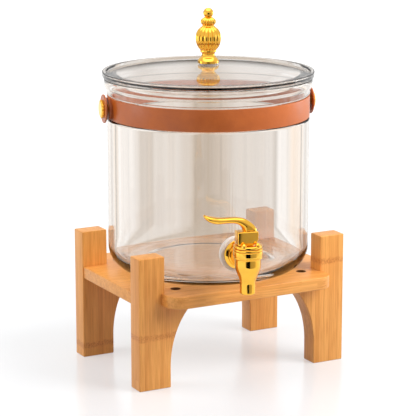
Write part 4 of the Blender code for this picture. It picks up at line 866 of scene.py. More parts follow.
class DISPENSER_OT_shelf_screws(bpy.types.Operator):
    """The four countersunk screws that hold the shelf to the legs, with their cross recesses"""

    bl_idname = "dispenser.shelf_screws"
    bl_label = "Shelf screws"

    def execute(self, context):
        look = context.scene.dispenser_metal
        profile = [(0, 0), (3.7, 0), (4.1, -0.5), (4.1, -2.8), (1.9, -2.8), (1.9, -19), (0, -23)]
        screw = add_object(lathe_mesh("screw", eased(profile, 0.25), 40))
        long, narrow, depth = 2.3, 0.45, 1.4
        combined(screw, [box_mesh("recess", (-x, -y, -depth), (x, y, 1)) for x, y in ((long, narrow), (narrow, long))])
        mesh = screw.data
        bpy.data.objects.remove(screw, do_unlink=True)
        # The screw heads are blackened steel, dark enough to serve as painted shade down in the counterbores.
        finish = material_for("blackened_steel", steel, look, 0.09)
        for y_side, depth in FRONT_AND_BACK:
            for x_side, width in LEFT_AND_RIGHT:
                place = STAND_AT @ Vector((x_side * SCREW_X * MM, y_side * LEG_CENTRE_Y * MM, SCREW_HEAD_TOP * MM))
                turn = (0, 0, 0.6 * x_side + 0.35 * y_side)
                name = f"shelf_screw_head_{depth}_{width}"
                obj = repeated(name, mesh.copy(), [(place, turn)], finish)
                soften(obj.data)
                finish_piece(obj, "stand", finish, "steel", f"shelf_screw_{depth}_{width}")
        return {"FINISHED"}


class DISPENSER_OT_jar(bpy.types.Operator):
    """The glass jar, with its flared lip, the shallow seat for the band, and the hole for the tap"""

    bl_idname = "dispenser.jar"
    bl_label = "Jar"

    def outline(self):
        points = [(0, 9)]
        points += arc(JAR_INNER - 16, 25, 16, -90, 0, 18)
        points += [(JAR_INNER, 184.5), (95.4, 188), (96, 189.5)]
        points += arc(98, 189.5, 2, 180, 90, 8)
        points += arc(100.7, 189.5, 2, 90, 0, 8)
        points.append((102.7, 187))
        points += [(JAR_RADIUS + 2.7 * math.cos(a), 187 - 6 * math.sin(a)) for a in
                   [math.radians(90) * i / 9 for i in range(1, 10)]]
        points += [(JAR_RADIUS, 176.2), (99.4, 175.2), (97.9, 174.9), (97.6, 174.7)]
        points += [(97.6, 152.7), (97.9, 152.5), (99.4, 152.2), (JAR_RADIUS, 151.2)]
        points += arc(JAR_RADIUS - 24, 24, 24, 0, -90, 22)
        points += [(68, 0), (66.5, 0.15), (63.5, 1.2), (61.5, 2.1), (59.5, 2.4), (0, 2.4)]
        return points

    def execute(self, context):
        look = context.scene.dispenser_glass
        jar = add_object(lathe_mesh("glass_jar", self.outline(), look.steps))
        hole = lathe_mesh("tap_hole", [(0, 90), (8.2, 90), (8.2, 104), (0, 104)], 64)
        hole.transform(JAR_AT.inverted() @ INLET_AT)
        combined(jar, [hole])
        jar.data.transform(JAR_AT)
        soften(jar.data, math.radians(40))
        jar.visible_shadow = False
        finish_piece(jar, "jar_unit", material_for("clear_glass", clear_glass, look), "clear_glass", "jar")
        return {"FINISHED"}


def outwards(side):
    """The axis of the stud on one side: its Z points out of the jar, level with the middle of the band."""
    return JAR_AT @ Matrix.Translation((0, 0, STRAP_MIDDLE * MM)) @ Matrix.Rotation(side * math.pi / 2, 4, "Y")


class DISPENSER_OT_band(bpy.types.Operator):
    """The leather band in two halves, and the leather discs under and over its studs"""

    bl_idname = "dispenser.band"
    bl_label = "Leather band"

    def execute(self, context):
        look = context.scene.dispenser_leather
        finish = material_for("tan_leather", leather, look)
        edge = look.edge_rounding / MM
        section = eased(
            [(STRAP_INNER, STRAP_LOW), (STRAP_OUTER, STRAP_LOW), (STRAP_OUTER, STRAP_HIGH), (STRAP_INNER, STRAP_HIGH)],
            edge, True, 4,
        )
        for side, name in FRONT_AND_BACK:
            rings = []
            for i in range(97):
                angle = side * (0.0016 + (math.pi - 0.0032) * i / 96)
                rings.append([(r * MM * math.cos(angle), r * MM * math.sin(angle), z * MM) for r, z in section])
            band = add_object(placed(loft_mesh(f"leather_band_{name}", rings), JAR_AT))
            finish_piece(band, "jar_unit", finish, "tan_leather", f"strap_{name}")
        for side, name in LEFT_AND_RIGHT:
            out = outwards(side)
            inner = [(2.3, 102.0), (11, 102.0), (11, 98.6), (2.3, 98.6)]
            turned_piece(f"leather_disc_inner_{name}", eased(inner, 0.6, True), out, "jar_unit", finish,
                         "tan_leather", f"strap_disc_inner_{name}", steps=72)
            outer = [(2.3, 106.2), (13.2, 106.2), (14, 105.9), (14, 104.7), (13.4, 104.4), (2.3, 104.4)]
            turned_piece(f"leather_disc_outer_{name}", eased(outer, 0.4, True), out, "jar_unit", finish,
                         "tan_leather", f"strap_disc_outer_{name}", steps=72)
        return {"FINISHED"}


class DISPENSER_OT_studs(bpy.types.Operator):
    """The gold studs with milled rims, their spacers, and the washers behind the band"""

    bl_idname = "dispenser.studs"
    bl_label = "Studs"

    def execute(self, context):
        look = context.scene.dispenser_metal
        gold = material_for("polished_gold", polished_gold, look)
        plain = material_for("turned_steel", steel, look)
        for side, name in LEFT_AND_RIGHT:
            out = outwards(side)
            head = [(0, 109.1), (7.0, 109.1), (7.9, 108.9), (8.2, 108.5), (8.2, 106.3), (2, 106.3), (2, 98.2),
                    (0, 98.2)]
            stud = add_object(lathe_mesh(f"gold_stud_{name}", eased(head, 0.35), 96))
            scallop = [(0, 1.25), (0.7, 1.15), (0.95, 0.8), (0.95, -0.9), (0.8, -1.05), (0, -1.1)]
            ridge = lathe_mesh("ridge", scallop, 14)
            places = []
            for i in range(look.milling):
                angle = 2 * math.pi * i / look.milling
                places.append(((7.9 * MM * math.cos(angle), 7.9 * MM * math.sin(angle), 107.55 * MM), (0, 0, angle)))
            rim = repeated("milled_rim", ridge, places, gold)
            joined = bmesh.new()
            joined.from_mesh(stud.data)
            joined.from_mesh(rim.data)
            joined.to_mesh(stud.data)
            joined.free()
            bpy.data.objects.remove(rim, do_unlink=True)
            stud.data.transform(out)
            soften(stud.data)
            finish_piece(stud, "jar_unit", gold, "polished_gold", f"stud_{name}")
            spacer = [(2.3, 104.1), (5, 104.1), (5, 102.3), (2.3, 102.3)]
            turned_piece(f"gold_spacer_{name}", eased(spacer, 0.3, True), out, "jar_unit", gold, "polished_gold",
                         f"stud_spacer_{name}", steps=64)
            back = [(2.3, 98.6), (5.5, 98.6), (5.5, 98.0), (2.3, 98.0)]
            turned_piece(f"steel_washer_{name}", eased(back, 0.15, True), out, "jar_unit", plain, "steel",
                         f"stud_back_{name}", steps=48)
        return {"FINISHED"}


class DISPENSER_OT_tap(bpy.types.Operator):
    """The tap's cast body with its inlet, collar and bores, its flange and its screwed bonnet"""

    bl_idname = "dispenser.tap"
    bl_label = "Tap"

    def execute(self, context):
        gold = material_for("polished_gold", polished_gold, context.scene.dispenser_metal)
        barrel = [(0, HEAD_TOP), (13.3, HEAD_TOP), (13.9, 10.7), (13.9, 6.4), (13.5, 5.9), (13.5, 5.3), (13.8, 4.9),
                  (13.8, 4.5), (12.9, 3.9), (12.2, 3.6), (12.2, -2.6)]
        barrel += [
            (7.4 + 4.8 * (1 + math.cos(math.pi * i / 24)) / 2, -2.6 - 17.9 * i / 24) for i in range(1, 25)
        ]
        barrel += [(7.4, SPOUT_BOTTOM + 0.7), (6.9, SPOUT_BOTTOM), (0, SPOUT_BOTTOM)]
        body = add_object(lathe_mesh("gold_tap_body", eased(barrel, 0.35), 128))
        inlet = [(0, 0), (9, 0), (9, 25.2), (9.6, 25.2), (10.5, 25.7), (10.5, 27.8), (7.5, 27.8), (7.5, 54), (0, 54)]
        towards = Matrix.Rotation(math.radians(-90), 4, "X")
        combined(body, [placed(lathe_mesh("inlet", inlet, 96), towards)], "UNION")
        bore = lathe_mesh("inlet_bore", [(0, 0.5), (4.5, 0.5), (4.5, 58), (0, 58)], 48)
        valve = lathe_mesh(
            "valve_bores",
            [(0, 16), (10.3, 16), (10.3, 8.1), (8.6, 8.1), (8.6, -7.5), (4.2, -7.5), (4.2, -9.7), (5, -9.7),
             (5, -34), (0, -34)], 64)
        combined(body, [placed(bore, towards), valve])
        body.data.transform(TAP_AT)
        soften(body.data)
        finish_piece(body, "jar_unit", gold, "polished_gold", "tap_body")
        flange = [(7.8, 106.9), (11.0, 106.9), (11.8, 106.6), (13.2, 106.1), (14, 105.6), (14, 104.3), (7.8, 104.3)]
        turned_piece("gold_tap_flange", eased(flange, 0.3, True), INLET_AT, "jar_unit", gold, "polished_gold",
                     "tap_flange")
        bonnet = [(2.6, 13.8), (12.7, 13.8), (13.9, 13.2), (13.9, 11.6), (10, 11.6), (10, 8.4), (4.1, 8.4),
                  (4.1, 10.0), (2.6, 10.0)]
        turned_piece("gold_bonnet", eased(bonnet, 0.3, True), TAP_AT, "jar_unit", gold, "polished_gold", "bonnet")
        return {"FINISHED"}


class DISPENSER_OT_seals(bpy.types.Operator):
    """The gaskets on both sides of the glass, the nut on the shank, and the gland's ring and washer"""

    bl_idname = "dispenser.seals"
    bl_label = "Seals and nut"

    def execute(self, context):
        look = context.scene.dispenser_metal
        rubber = material_for("white_silicone", silicone, look)
        plain = material_for("turned_steel", steel, look)
        back = INLET_AT.inverted() @ JAR_AT
        outline = [(7.8, 104.0), (16.2, 104.0), (17.0, 103.8), (17.5, 103.1), (17.5, 97), (7.8, 97)]
        gasket = add_object(lathe_mesh("silicone_gasket_outer", eased(outline, 0.5, True), 128))
        face = lathe_mesh("jar_face", [(0, 0), (100.3, 0), (100.3, 70), (0, 70)], 256)
        combined(gasket, [placed(face, back)])
        gasket.data.transform(INLET_AT)
        soften(gasket.data)
        finish_piece(gasket, "jar_unit", rubber, "white_silicone", "gasket_outer")
        inner = add_object(lathe_mesh("silicone_gasket_inner", [(7.8, 90.5), (11, 90.5), (11, 99), (7.8, 99)], 96))
        inside = lathe_mesh("jar_inside", [(0, 0), (94.7, 0), (94.7, 70), (0, 70)], 256)
        combined(inner, [placed(inside, back)], "INTERSECT")
        inner.data.transform(INLET_AT)
        soften(inner.data)
        finish_piece(inner, "jar_unit", rubber, "white_silicone", "gasket_inner")
        nut = add_object(lathe_mesh("steel_tap_nut", [(0, 90.2), (14, 90.2), (14, 86.2), (0, 86.2)], 6))
        rounded(nut, 0.6, 2, 30)
        crown = lathe_mesh("crown", [(0, 90.3), (13.0, 90.3), (14.2, 89.3), (14.2, 87.1), (13.0, 86.1), (0, 86.1)], 64)
        combined(nut, [crown], "INTERSECT")
        combined(nut, [lathe_mesh("nut_bore", [(0, 80), (7.8, 80), (7.8, 96), (0, 96)], 64)])
        nut.data.transform(INLET_AT)
        soften(nut.data)
        finish_piece(nut, "jar_unit", plain, "steel", "tap_nut")
        ring = arc(3.15, 9.05, 0.65, 360, 0, 17)[:-1]
        turned_piece("silicone_stem_ring", ring, TAP_AT, "jar_unit", rubber, "white_silicone", "stem_o_ring", steps=48)
        washer = [(2.6, 8.1), (7.4, 8.1), (7.4, 7.3), (2.6, 7.3)]
        turned_piece("steel_gland_washer", eased(washer, 0.15, True), TAP_AT, "jar_unit", plain, "steel",
                     "gland_washer", steps=64)
        return {"FINISHED"}


class DISPENSER_OT_turning_washer(bpy.types.Operator):
    """The washer that turns with the lever, with its four domed lugs"""

    bl_idname = "dispenser.turning_washer"
    bl_label = "Turning washer"

    def execute(self, context):
        gold = material_for("polished_gold", polished_gold, context.scene.dispenser_metal)
        profile = [(2.6, 16.7), (12.6, 16.7), (13.4, 16.1), (13.4, 14.1), (2.6, 14.1)]
        washer = add_object(lathe_mesh("gold_turning_washer", eased(profile, 0.35, True), 128))
        dome = [(0, 3.0)] + [(2.5 * math.sin(a), 3.0 * math.cos(a)) for a in
                             [math.radians(90) * i / 10 for i in range(1, 11)]] + [(2.5, -0.8), (0, -0.8)]
        places = [((x * 6.6 * MM, y * 9.2 * MM, 16.7 * MM), (0, 0, 0)) for x in (-1, 1) for y in (-1, 1)]
        lugs = repeated("domed_lugs", lathe_mesh("lug", dome, 32), places, gold)
        mesh = lugs.data
        bpy.data.objects.remove(lugs, do_unlink=True)
        combined(washer, [mesh], "UNION")
        washer.data.transform(TAP_AT)
        soften(washer.data)
        finish_piece(washer, "swivel", gold, "polished_gold", "cam_washer")
        return {"FINISHED"}


class DISPENSER_OT_valve(bpy.types.Operator):
    """The stem with its eye, the plug on its seat, the pin and the coil spring"""

    bl_idname = "dispenser.valve"
    bl_label = "Valve"

    def execute(self, context):
        look = context.scene.dispenser_metal
        plain = material_for("turned_steel", steel, look)
        rubber = material_for("white_silicone", silicone, look)
        stem_line = [(0, 22), (2.2, 22), (2.2, -2.9), (6, -2.9), (6, -4.1), (2.2, -4.1), (2.2, -5.95), (0, -5.95)]
        stem = add_object(lathe_mesh("steel_stem", eased(stem_line, 0.2), 64))
        turn = TAP_AT.inverted() @ ACROSS_PIVOT
        eye = lathe_mesh("eye", [(0, -2.5), (3.5, -2.5), (3.5, 2.5), (0, 2.5)], 64)
        combined(stem, [placed(eye, turn)], "UNION")
        hole = lathe_mesh("pin_hole", [(0, -13), (1.7, -13), (1.7, 13), (0, 13)], 48)
        combined(stem, [placed(hole, turn)])
        stem.data.transform(TAP_AT)
        soften(stem.data)
        finish_piece(stem, "stem_unit", plain, "steel", "stem")
        pin = [(0, 4.9), (1.2, 4.9), (1.4, 4.7), (1.4, -5.8), (1.2, -6.0), (0, -6.0)]
        turned_piece("steel_pivot_pin", pin, ACROSS_PIVOT, "stem_unit", plain, "steel", "pivot_pin", steps=48)
        plug = [(0, -6.25), (2.5, -6.25), (2.5, -4.4), (6.2, -4.4), (6.2, -7.2), (3.9, -7.2), (3, -9.2), (0, -9.2)]
        turned_piece("silicone_seat_plug", eased(plug, 0.25), TAP_AT, "stem_unit", rubber, "white_silicone",
                     "seat_plug", steps=64)
        low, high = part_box("spring")
        wire = 0.4 * MM
        coil = add_object(bpy.data.meshes.new("steel_valve_spring"))
        values = {"Turns": look.spring_turns, "Radius": 4.9 * MM, "Height": high.z - low.z - 2 * wire,
                  "Wire": wire, "Material": plain}
        through_tree(coil, coil_tree(), values)
        middle = TAP_AT.translation
        coil.data.transform(Matrix.Translation((middle.x, middle.y, low.z + wire)) @ Matrix.Rotation(JAR_TURN, 4, "Z"))
        soften(coil.data)
        finish_piece(coil, "stem_unit", plain, "steel", "spring")
        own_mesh(coil)
        return {"FINISHED"}


class DISPENSER_OT_lever(bpy.types.Operator):
    """The flip lever: a square heel with a cam underneath and a swan-necked blade"""

    bl_idname = "dispenser.lever"
    bl_label = "Lever"

    def stations(self):
        table = [LEVER_STATIONS[0], *LEVER_STATIONS, LEVER_STATIONS[-1]]
        rows = []
        for i in range(1, len(table) - 2):
            for step in range(5):
                s = step / 5
                rows.append([
                    0.5 * (2 * b + (c - a) * s + (2 * a - 5 * b + 4 * c - d) * s**2 + (3 * b - a - 3 * c + d) * s**3)
                    for a, b, c, d in zip(*table[i - 1:i + 3])
                ])
        rows.append(LEVER_STATIONS[-1])
        return rows

    def blade(self):
        rings = []
        for top_x, top_z, low_x, low_z, width in self.stations():
            middle = ((top_x + low_x) / 2 * LEVER_REACH, (top_z + low_z) / 2 * LEVER_RISE)
            half = ((top_x - low_x) / 2 * LEVER_REACH, (top_z - low_z) / 2 * LEVER_RISE)
            ring = []
            for k in range(28):
                angle = 2 * math.pi * k / 28
                across = math.copysign(abs(math.cos(angle)) ** 0.72, math.cos(angle))
                along = math.copysign(abs(math.sin(angle)) ** 0.78, math.sin(angle))
                ring.append((
                    (middle[0] + half[0] * along) * MM, across * width * LEVER_WIDTH / 2 * MM,
                    (middle[1] + half[1] * along) * MM,
                ))
            rings.append(ring)
        last = rings[-1]
        centre = [sum(p[i] for p in last) / len(last) for i in range(3)]
        for scale, push in ((0.8, 0.35), (0.45, 0.65), (0.12, 0.75)):
            moved = (-push * MM, 0, push * 0.3 * MM)
            rings.append([tuple(c + (value - c) * scale + by for c, value, by in zip(centre, p, moved)) for p in last])
        return loft_mesh("blade", rings)

    def heel(self):
        lift = 3.4 / math.radians(90)
        points = [(-11.1, -5)]
        for i in range(17):
            angle = math.radians(90) * i / 16
            reach = 5 + lift * angle
            points.append((reach * math.sin(angle) + lift * math.cos(angle),
                           -reach * math.cos(angle) + lift * math.sin(angle)))
        return points + [(8.4, 7.8), (-11.1, 7.8)]

    def execute(self, context):
        gold = material_for("polished_gold", polished_gold, context.scene.dispenser_metal)
        across = Matrix.Rotation(math.radians(90), 4, "X")
        lever = add_object(placed(plate_mesh("gold_lever", self.heel(), HEEL_DEPTH), across))
        rounded(lever, 0.6, 3, 35)
        combined(lever, [self.blade()], "UNION")
        cutters = [box_mesh("slot", (-3.8, -2.8, -13), (13, 2.8, 3.8))]
        hole = lathe_mesh("pin_hole", [(0, -13), (1.7, -13), (1.7, 5.2), (0, 5.2)], 48)
        cutters.append(placed(hole, across))
        pocket = eased([(x * LEVER_REACH, z * LEVER_RISE) for x, z in POCKET], 0.8, True, 4)
        for side in (-1, 1):
            cutter = plate_mesh("pocket", pocket, 6.4)
            cutters.append(placed(cutter, Matrix.Translation((0, side * 6.8 * MM, 0)) @ across))
        combined(lever, cutters)
        lever.data.transform(PIVOT_AT)
        soften(lever.data, math.radians(38))
        finish_piece(lever, "lever", gold, "polished_gold", "lever")
        return {"FINISHED"}


def dome(top, radius):
    return top - DOME_RADIUS + math.sqrt(DOME_RADIUS**2 - radius**2)


class DISPENSER_OT_lid(bpy.types.Operator):
    """The domed glass lid with its rolled rim and the skirt inside the jar's mouth"""

    bl_idname = "dispenser.lid"
    bl_label = "Lid"

    def execute(self, context):
        look = context.scene.dispenser_glass
        seat, rim_top = 191.8, 197.7
        points = [(r, dome(LID_TOP, r)) for r in [3.3 + (97.7 - 3.3) * i / 28 for i in range(29)]]
        points += [(99.0, 194.85), (99.6, 195.5)]
        points += arc(101.17, rim_top - 1.3, 1.3, 150, 90, 6)
        points += arc(102.9, rim_top - 1.3, 1.3, 90, 0, 8)
        points += arc(102.9, seat + 1.3, 1.3, 0, -90, 8)
        points += [(94.4, seat), (94.2, seat - 0.3)]
        points += arc(93.4, 187.2, 0.8, 0, -90, 6)
        points += arc(91.4, 187.2, 0.8, -90, -180, 6)
        points += [(90.5, 192.6), (89.8, dome(LID_TOP - 4.2, 89.8))]
        points += [(r, dome(LID_TOP - 4.2, r)) for r in [89 + (3.3 - 89) * i / 26 for i in range(27)]]
        lid = add_object(placed(lathe_mesh("glass_lid", points, look.steps), JAR_AT))
        soften(lid.data, math.radians(40))
        lid.visible_shadow = False
        finish_piece(lid, "lid_unit", material_for("clear_glass", clear_glass, look), "clear_glass", "lid")
        return {"FINISHED"}


class DISPENSER_OT_knob(bpy.types.Operator):
    """The turned finial knob with its ribbed egg and bulb"""

    bl_idname = "dispenser.knob"
    bl_label = "Knob"

    def rows(self):
        """(height, radius, rib) in millimetres, smoothed between the listed rows."""
        table = [(h * KNOB_HEIGHT, r, rib) for h, r, rib in KNOB_ROWS]
        result = []
        for i in range(len(table) - 1):
            first, second = table[max(i - 1, 0)], table[min(i + 2, len(table) - 1)]
            smooth = 2 < i
            for step in range(5):
                s = step / 5
                row = []
                for a, b, c, d in zip(first, table[i], table[i + 1], second):
                    curve = 0.5 * (2 * b + (c - a) * s + (2 * a - 5 * b + 4 * c - d) * s**2
                                   + (3 * b - a - 3 * c + d) * s**3)
                    row.append(curve if smooth else b + (c - b) * s)
                result.append((row[0], row[1], max(row[2], 0.0)))
        result.append(table[-1])
        start = -math.acos(KNOB_NECK)
        for i in range(19):
            angle = start + (math.radians(90) - start) * i / 18
            result.append((KNOB_HEIGHT - KNOB_BALL + KNOB_BALL * math.sin(angle), KNOB_BALL * math.cos(angle), 0.0))
        return result

    def execute(self, context):
        look = context.scene.dispenser_metal
        gold = material_for("polished_gold", polished_gold, look)
        rows = self.rows()
        outline = [(0, 0)] + [(r, h) for h, r, _ in rows]
        mesh = lathe_mesh("gold_knob", outline, 12 * look.knob_ribs)
        rib = mesh.attributes.new("rib", "FLOAT", "POINT")
        for i, vertex in enumerate(mesh.vertices):
            height = vertex.co.z / MM
            rib.data[i].value = min(rows, key=lambda row: abs(row[0] - height))[2]
        knob = add_object(mesh)
        through_tree(knob, ribbed_tree(), {"Ribs": float(look.knob_ribs), "Depth": look.rib_depth, "Material": gold})
        if "rib" in knob.data.attributes:
            knob.data.attributes.remove(knob.data.attributes["rib"])
        place = JAR_AT @ Matrix.Translation((0, 0, KNOB_BOTTOM * MM)) @ Matrix.Rotation(KNOB_TURN, 4, "Z")
        knob.data.transform(place)
        soften(knob.data, math.radians(50))
        finish_piece(knob, "lid_unit", gold, "polished_gold", "knob")
        rubber = material_for("white_silicone", silicone, look)
        plain = material_for("turned_steel", steel, look)
        for name, low in (("upper", 203.7), ("lower", 198.1)):
            ring = [(2.3, low), (9, low), (9, low + 0.8), (2.3, low + 0.8)]
            turned_piece(f"silicone_knob_washer_{name}", eased(ring, 0.25, True), JAR_AT, "lid_unit", rubber,
                         "white_silicone", f"knob_washer_{name}", steps=72)
        screw = [(0, 217.6), (2, 217.6), (2, 197.8), (5.4, 197.8), (5.4, 196.3), (4.6, 195.2), (3.9, 194.8), (0, 194.8)]
        head = add_object(lathe_mesh("steel_knob_screw", eased(screw, 0.25), 64))
        combined(head, [box_mesh("slot", (-6, -0.5, 194), (6, 0.5, 195.8))])
        head.data.transform(JAR_AT)
        soften(head.data)
        finish_piece(head, "lid_unit", plain, "steel", "knob_screw")
        return {"FINISHED"}


class DISPENSER_OT_studio(bpy.types.Operator):
    """A pale floor, plain soft light, the surroundings that the glass and gold reflect, and the camera"""

    bl_idname = "dispenser.studio"
    bl_label = "Studio"

    # What polished metal and glass reflect round the horizon, as (degrees to the right of the camera,
    # level, warmth): a black flag in front, plain cards beside it, softboxes at both sides, and dark behind.
    REFLECTED = (
        (-180, 0.10, 0.4), (-103, 0.10, 0.4), (-99, 3.6, 0.1), (-77, 3.6, 0.1), (-72, 0.95, 0.1), (-18, 0.90, 0.1),
        (-14.5, 0.0, 0.0), (18.5, 0.0, 0.0), (22, 0.45, 0.2), (66, 0.62, 0.2), (74, 0.95, 0.1), (106, 0.95, 0.1),
        (110, 5.0, 0.0), (133, 5.0, 0.0), (138, 0.10, 0.3), (180, 0.10, 0.4),
    )
    # The backdrop's soft bands that show through the glass, as (degrees, level, warmth). They repeat
    # all round, so the glass looks alike from every side.
    BACKDROP = (
        (-15, 0.12, 0.3), (-14, 1.05, 0.6), (-8.5, 1.05, 0.65), (-7.0, 1.0, 0.15), (-5.2, 1.1, 0.0), (-4.7, 0.68, 0.3),
        (-4.2, 0.87, 0.2), (-1.4, 0.82, 0.3), (-1.0, 0.74, 0.5), (-0.2, 0.62, 0.7), (0.7, 0.62, 0.7), (1.0, 0.74, 0.5),
        (1.6, 0.83, 0.3), (3.2, 0.82, 0.3), (3.5, 0.70, 0.45), (4.7, 0.70, 0.45), (5.1, 0.84, 0.3), (6.2, 1.0, 0.05),
        (8.0, 0.98, 0.15), (11.0, 1.15, 0.0), (13.0, 0.85, 0.5), (15, 0.12, 0.3),
    )
    BACKDROP_PERIOD = 30
    BRIGHTEST = 5.0
    WARM = (1.0, 0.80, 0.60)

    # The floor, in metres: its left, near, right and far edges, and where it begins and ends to whiten
    FLOOR_EDGES = (-6, -0.42, 6, 9)
    FLOOR_FADE = (0.16, 0.95)

    LAMP_DISTANCE = 1.6
    SENSOR_WIDTH = 36
    PICTURE_SHIFT = -0.29 / 416

    def floor(self, look):
        mesh = bpy.data.meshes.new("studio_floor")
        left, near, right, far = self.FLOOR_EDGES
        mesh.from_pydata([(left, near, 0), (right, near, 0), (right, far, 0), (left, far, 0)], [], [(0, 1, 2, 3)])
        floor = add_object(mesh)
        made = Finish("studio_floor", look.floor_colour, 0.20)
        paths = made.tree.nodes.new("ShaderNodeLightPath")
        seen = made.maths("MAXIMUM", paths.outputs["Is Camera Ray"], paths.outputs["Is Glossy Ray"])
        made.shader.inputs["Emission Color"].default_value = (1, 1, 1, 1)
        span = made.tree.nodes.new("ShaderNodeVectorMath")
        span.operation = "LENGTH"
        made.tree.links.new(made.coordinates, span.inputs[0])
        white = made.spread(span.outputs["Value"], *self.FLOOR_FADE)
        lift = made.maths("ADD", look.floor_lift, made.maths("MULTIPLY", white, 1.0 - look.floor_lift))
        made.link(made.mix(white, tuple(look.floor_colour), (0.0, 0.0, 0.0)), "Base Color")
        made.link(made.maths("MULTIPLY", seen, lift), "Emission Strength")
        mesh.materials.append(made.material)
        floor.visible_transmission = False

    def ramp(self, tree, turns, stops, period):
        """A colour ramp over one period of bearing, its levels divided by the brightest one."""
        node = tree.nodes.new("ShaderNodeValToRGB")
        elements = node.color_ramp.elements
        for i, (angle, level, warmth) in enumerate(stops):
            spot = angle / period + 0.5
            stop = elements[0] if i == 0 else elements[-1] if i == len(stops) - 1 else elements.new(spot)
            stop.position = spot
            stop.color = tuple(level / self.BRIGHTEST * (1 - warmth + warmth * c) for c in self.WARM) + (1,)
        tree.links.new(turns, node.inputs["Fac"])
        return node.outputs["Color"]

    def background(self, tree, colour, strength):
        node = tree.nodes.new("ShaderNodeBackground")
        if isinstance(colour, bpy.types.NodeSocket):
            tree.links.new(colour, node.inputs["Color"])
        else:
            node.inputs["Color"].default_value = (*colour, 1)
        node.inputs["Strength"].default_value = strength
        return node.outputs[0]

    def either(self, tree, share, first, second):
        node = tree.nodes.new("ShaderNodeMixShader")
        tree.links.new(share, node.inputs[0])
        tree.links.new(first, node.inputs[1])
        tree.links.new(second, node.inputs[2])
        return node.outputs[0]

    def blend(self, tree, value, low, high, first, second):
        """The first colour below the low value, the second above the high one."""
        share = tree.nodes.new("ShaderNodeMapRange")
        share.inputs["From Min"].default_value = low
        share.inputs["From Max"].default_value = high
        tree.links.new(value, share.inputs["Value"])
        node = tree.nodes.new("ShaderNodeMix")
        node.data_type = "RGBA"
        tree.links.new(share.outputs["Result"], node.inputs[0])
        for socket, colour in ((node.inputs[6], first), (node.inputs[7], second)):
            if isinstance(colour, bpy.types.NodeSocket):
                tree.links.new(colour, socket)
            else:
                socket.default_value = (colour / self.BRIGHTEST,) * 3 + (1,)
        return node.outputs[2]

    def surroundings(self, context, look):
        world = bpy.data.worlds.new("studio")
        context.scene.world = world
        world.use_nodes = True
        tree = world.node_tree
        tree.nodes.clear()
        direction = tree.nodes.new("ShaderNodeTexCoord").outputs["Generated"]
        parts = tree.nodes.new("ShaderNodeSeparateXYZ")
        tree.links.new(direction, parts.inputs[0])
        height = parts.outputs["Z"]
        bearing = maths(tree, "ARCTAN2", parts.outputs["X"], maths(tree, "MULTIPLY", parts.outputs["Y"], -1.0))
        bearing = maths(tree, "SUBTRACT", bearing, look.camera_azimuth)
        turns = maths(tree, "FRACT", maths(tree, "ADD", maths(tree, "DIVIDE", bearing, 2 * math.pi), 1.5))
        mirrored = self.ramp(tree, turns, self.REFLECTED, 360)
        mirrored = self.blend(tree, height, 0.03, 0.17, mirrored, 0.92)
        mirrored = self.blend(tree, height, 0.74, 0.82, mirrored, 2.6)
        mirrored = self.blend(tree, height, -0.62, -0.42, 0.62, mirrored)
        period = math.radians(self.BACKDROP_PERIOD)
        turns = maths(tree, "FRACT", maths(tree, "ADD", maths(tree, "DIVIDE", bearing, period), 12.5))
        through = self.ramp(tree, turns, self.BACKDROP, self.BACKDROP_PERIOD)
        paths = tree.nodes.new("ShaderNodeLightPath")
        light = self.background(tree, (1, 1, 1), look.world_level)
        seen = (("Is Glossy Ray", mirrored, self.BRIGHTEST), ("Is Transmission Ray", through, self.BRIGHTEST),
                ("Is Camera Ray", (1, 1, 1), 1.0))
        for ray, colour, strength in seen:
            light = self.either(tree, paths.outputs[ray], light, self.background(tree, colour, strength))
        out = tree.nodes.new("ShaderNodeOutputWorld")
        tree.links.new(light, out.inputs["Surface"])

    def towards(self, azimuth, elevation):
        level = math.cos(elevation)
        return Vector((math.sin(azimuth) * level, -math.cos(azimuth) * level, math.sin(elevation)))

    def lamp(self, name, position, target, size, power):
        data = bpy.data.lights.new(name, "AREA")
        data.shape = "RECTANGLE"
        data.size, data.size_y = size
        data.energy = power
        lamp = bpy.data.objects.new(name, data)
        lamp.location = position
        lamp.rotation_euler = (Vector(target) - Vector(position)).to_track_quat("-Z", "Y").to_euler()
        bpy.context.scene.collection.objects.link(lamp)
        return lamp

    def execute(self, context):
        look = context.scene.dispenser_studio
        self.floor(look)
        self.surroundings(context, look)
        centre = (0, FRAME_SHIFT_Y, look.camera_target_height)
        lamps = (("right_light", 72, 34, look.right_power, 1.0), ("left_light", -82, 30, look.left_power, 1.0),
                 ("top_light", 160, 80, look.top_power, 1.3))
        for name, bearing, rise, power, size in lamps:
            away = self.towards(look.camera_azimuth + math.radians(bearing), math.radians(rise))
            spot = Vector(centre) + away * self.LAMP_DISTANCE
            lamp = self.lamp(name, spot, centre, (size, size), power)
            lamp.visible_glossy = False
            lamp.visible_transmission = False
        back = self.towards(look.camera_azimuth, look.camera_elevation)
        data = bpy.data.cameras.new("camera")
        data.lens = look.camera_lens
        data.sensor_width = self.SENSOR_WIDTH
        data.shift_x = self.PICTURE_SHIFT
        camera = bpy.data.objects.new("camera", data)
        camera.location = Vector(centre) + back * look.camera_distance
        camera.rotation_euler = (-back).to_track_quat("-Z", "Y").to_euler()
        context.scene.collection.objects.link(camera)
        context.scene.camera = camera
        context.scene.view_settings.view_transform = "Standard"
        return {"FINISHED"}


class DISPENSER_PT_panel(bpy.types.Panel):
    """Lists the dispenser's settings and the operators that build it"""

    bl_idname = "DISPENSER_PT_panel"
    bl_label = "Glass drink dispenser"
    bl_space_type = "VIEW_3D"
    bl_region_type = "UI"
    bl_category = "Dispenser"

    def draw(self, context):
        for name, group in SETTINGS.items():
            box = self.layout.box()
            for key in group.__annotations__:
                box.prop(getattr(context.scene, name), key)
        for operator in BUILDERS:
            self.layout.operator(operator.bl_idname)


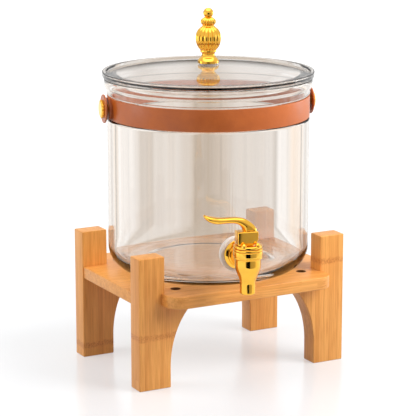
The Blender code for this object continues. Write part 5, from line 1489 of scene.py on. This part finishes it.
SETTINGS = {
    "dispenser_stand": StandSettings,
    "dispenser_glass": GlassSettings,
    "dispenser_leather": LeatherSettings,
    "dispenser_metal": MetalSettings,
    "dispenser_studio": StudioSettings,
}
BUILDERS = (
    DISPENSER_OT_studio, DISPENSER_OT_stand, DISPENSER_OT_shelf_screws, DISPENSER_OT_jar, DISPENSER_OT_band,
    DISPENSER_OT_studs, DISPENSER_OT_tap, DISPENSER_OT_seals, DISPENSER_OT_turning_washer, DISPENSER_OT_valve,
    DISPENSER_OT_lever, DISPENSER_OT_lid, DISPENSER_OT_knob,
)


def register():
    for cls in (*SETTINGS.values(), *BUILDERS, DISPENSER_PT_panel):
        bpy.utils.register_class(cls)
    for name, group in SETTINGS.items():
        setattr(bpy.types.Scene, name, PointerProperty(type=group))


def unregister():
    for name in SETTINGS:
        delattr(bpy.types.Scene, name)
    for cls in reversed((*SETTINGS.values(), *BUILDERS, DISPENSER_PT_panel)):
        bpy.utils.unregister_class(cls)


def main():
    register()
    for operator in BUILDERS:
        group, name = operator.bl_idname.split(".")
        getattr(getattr(bpy.ops, group), name)()


if __name__ == "__main__":
    main()
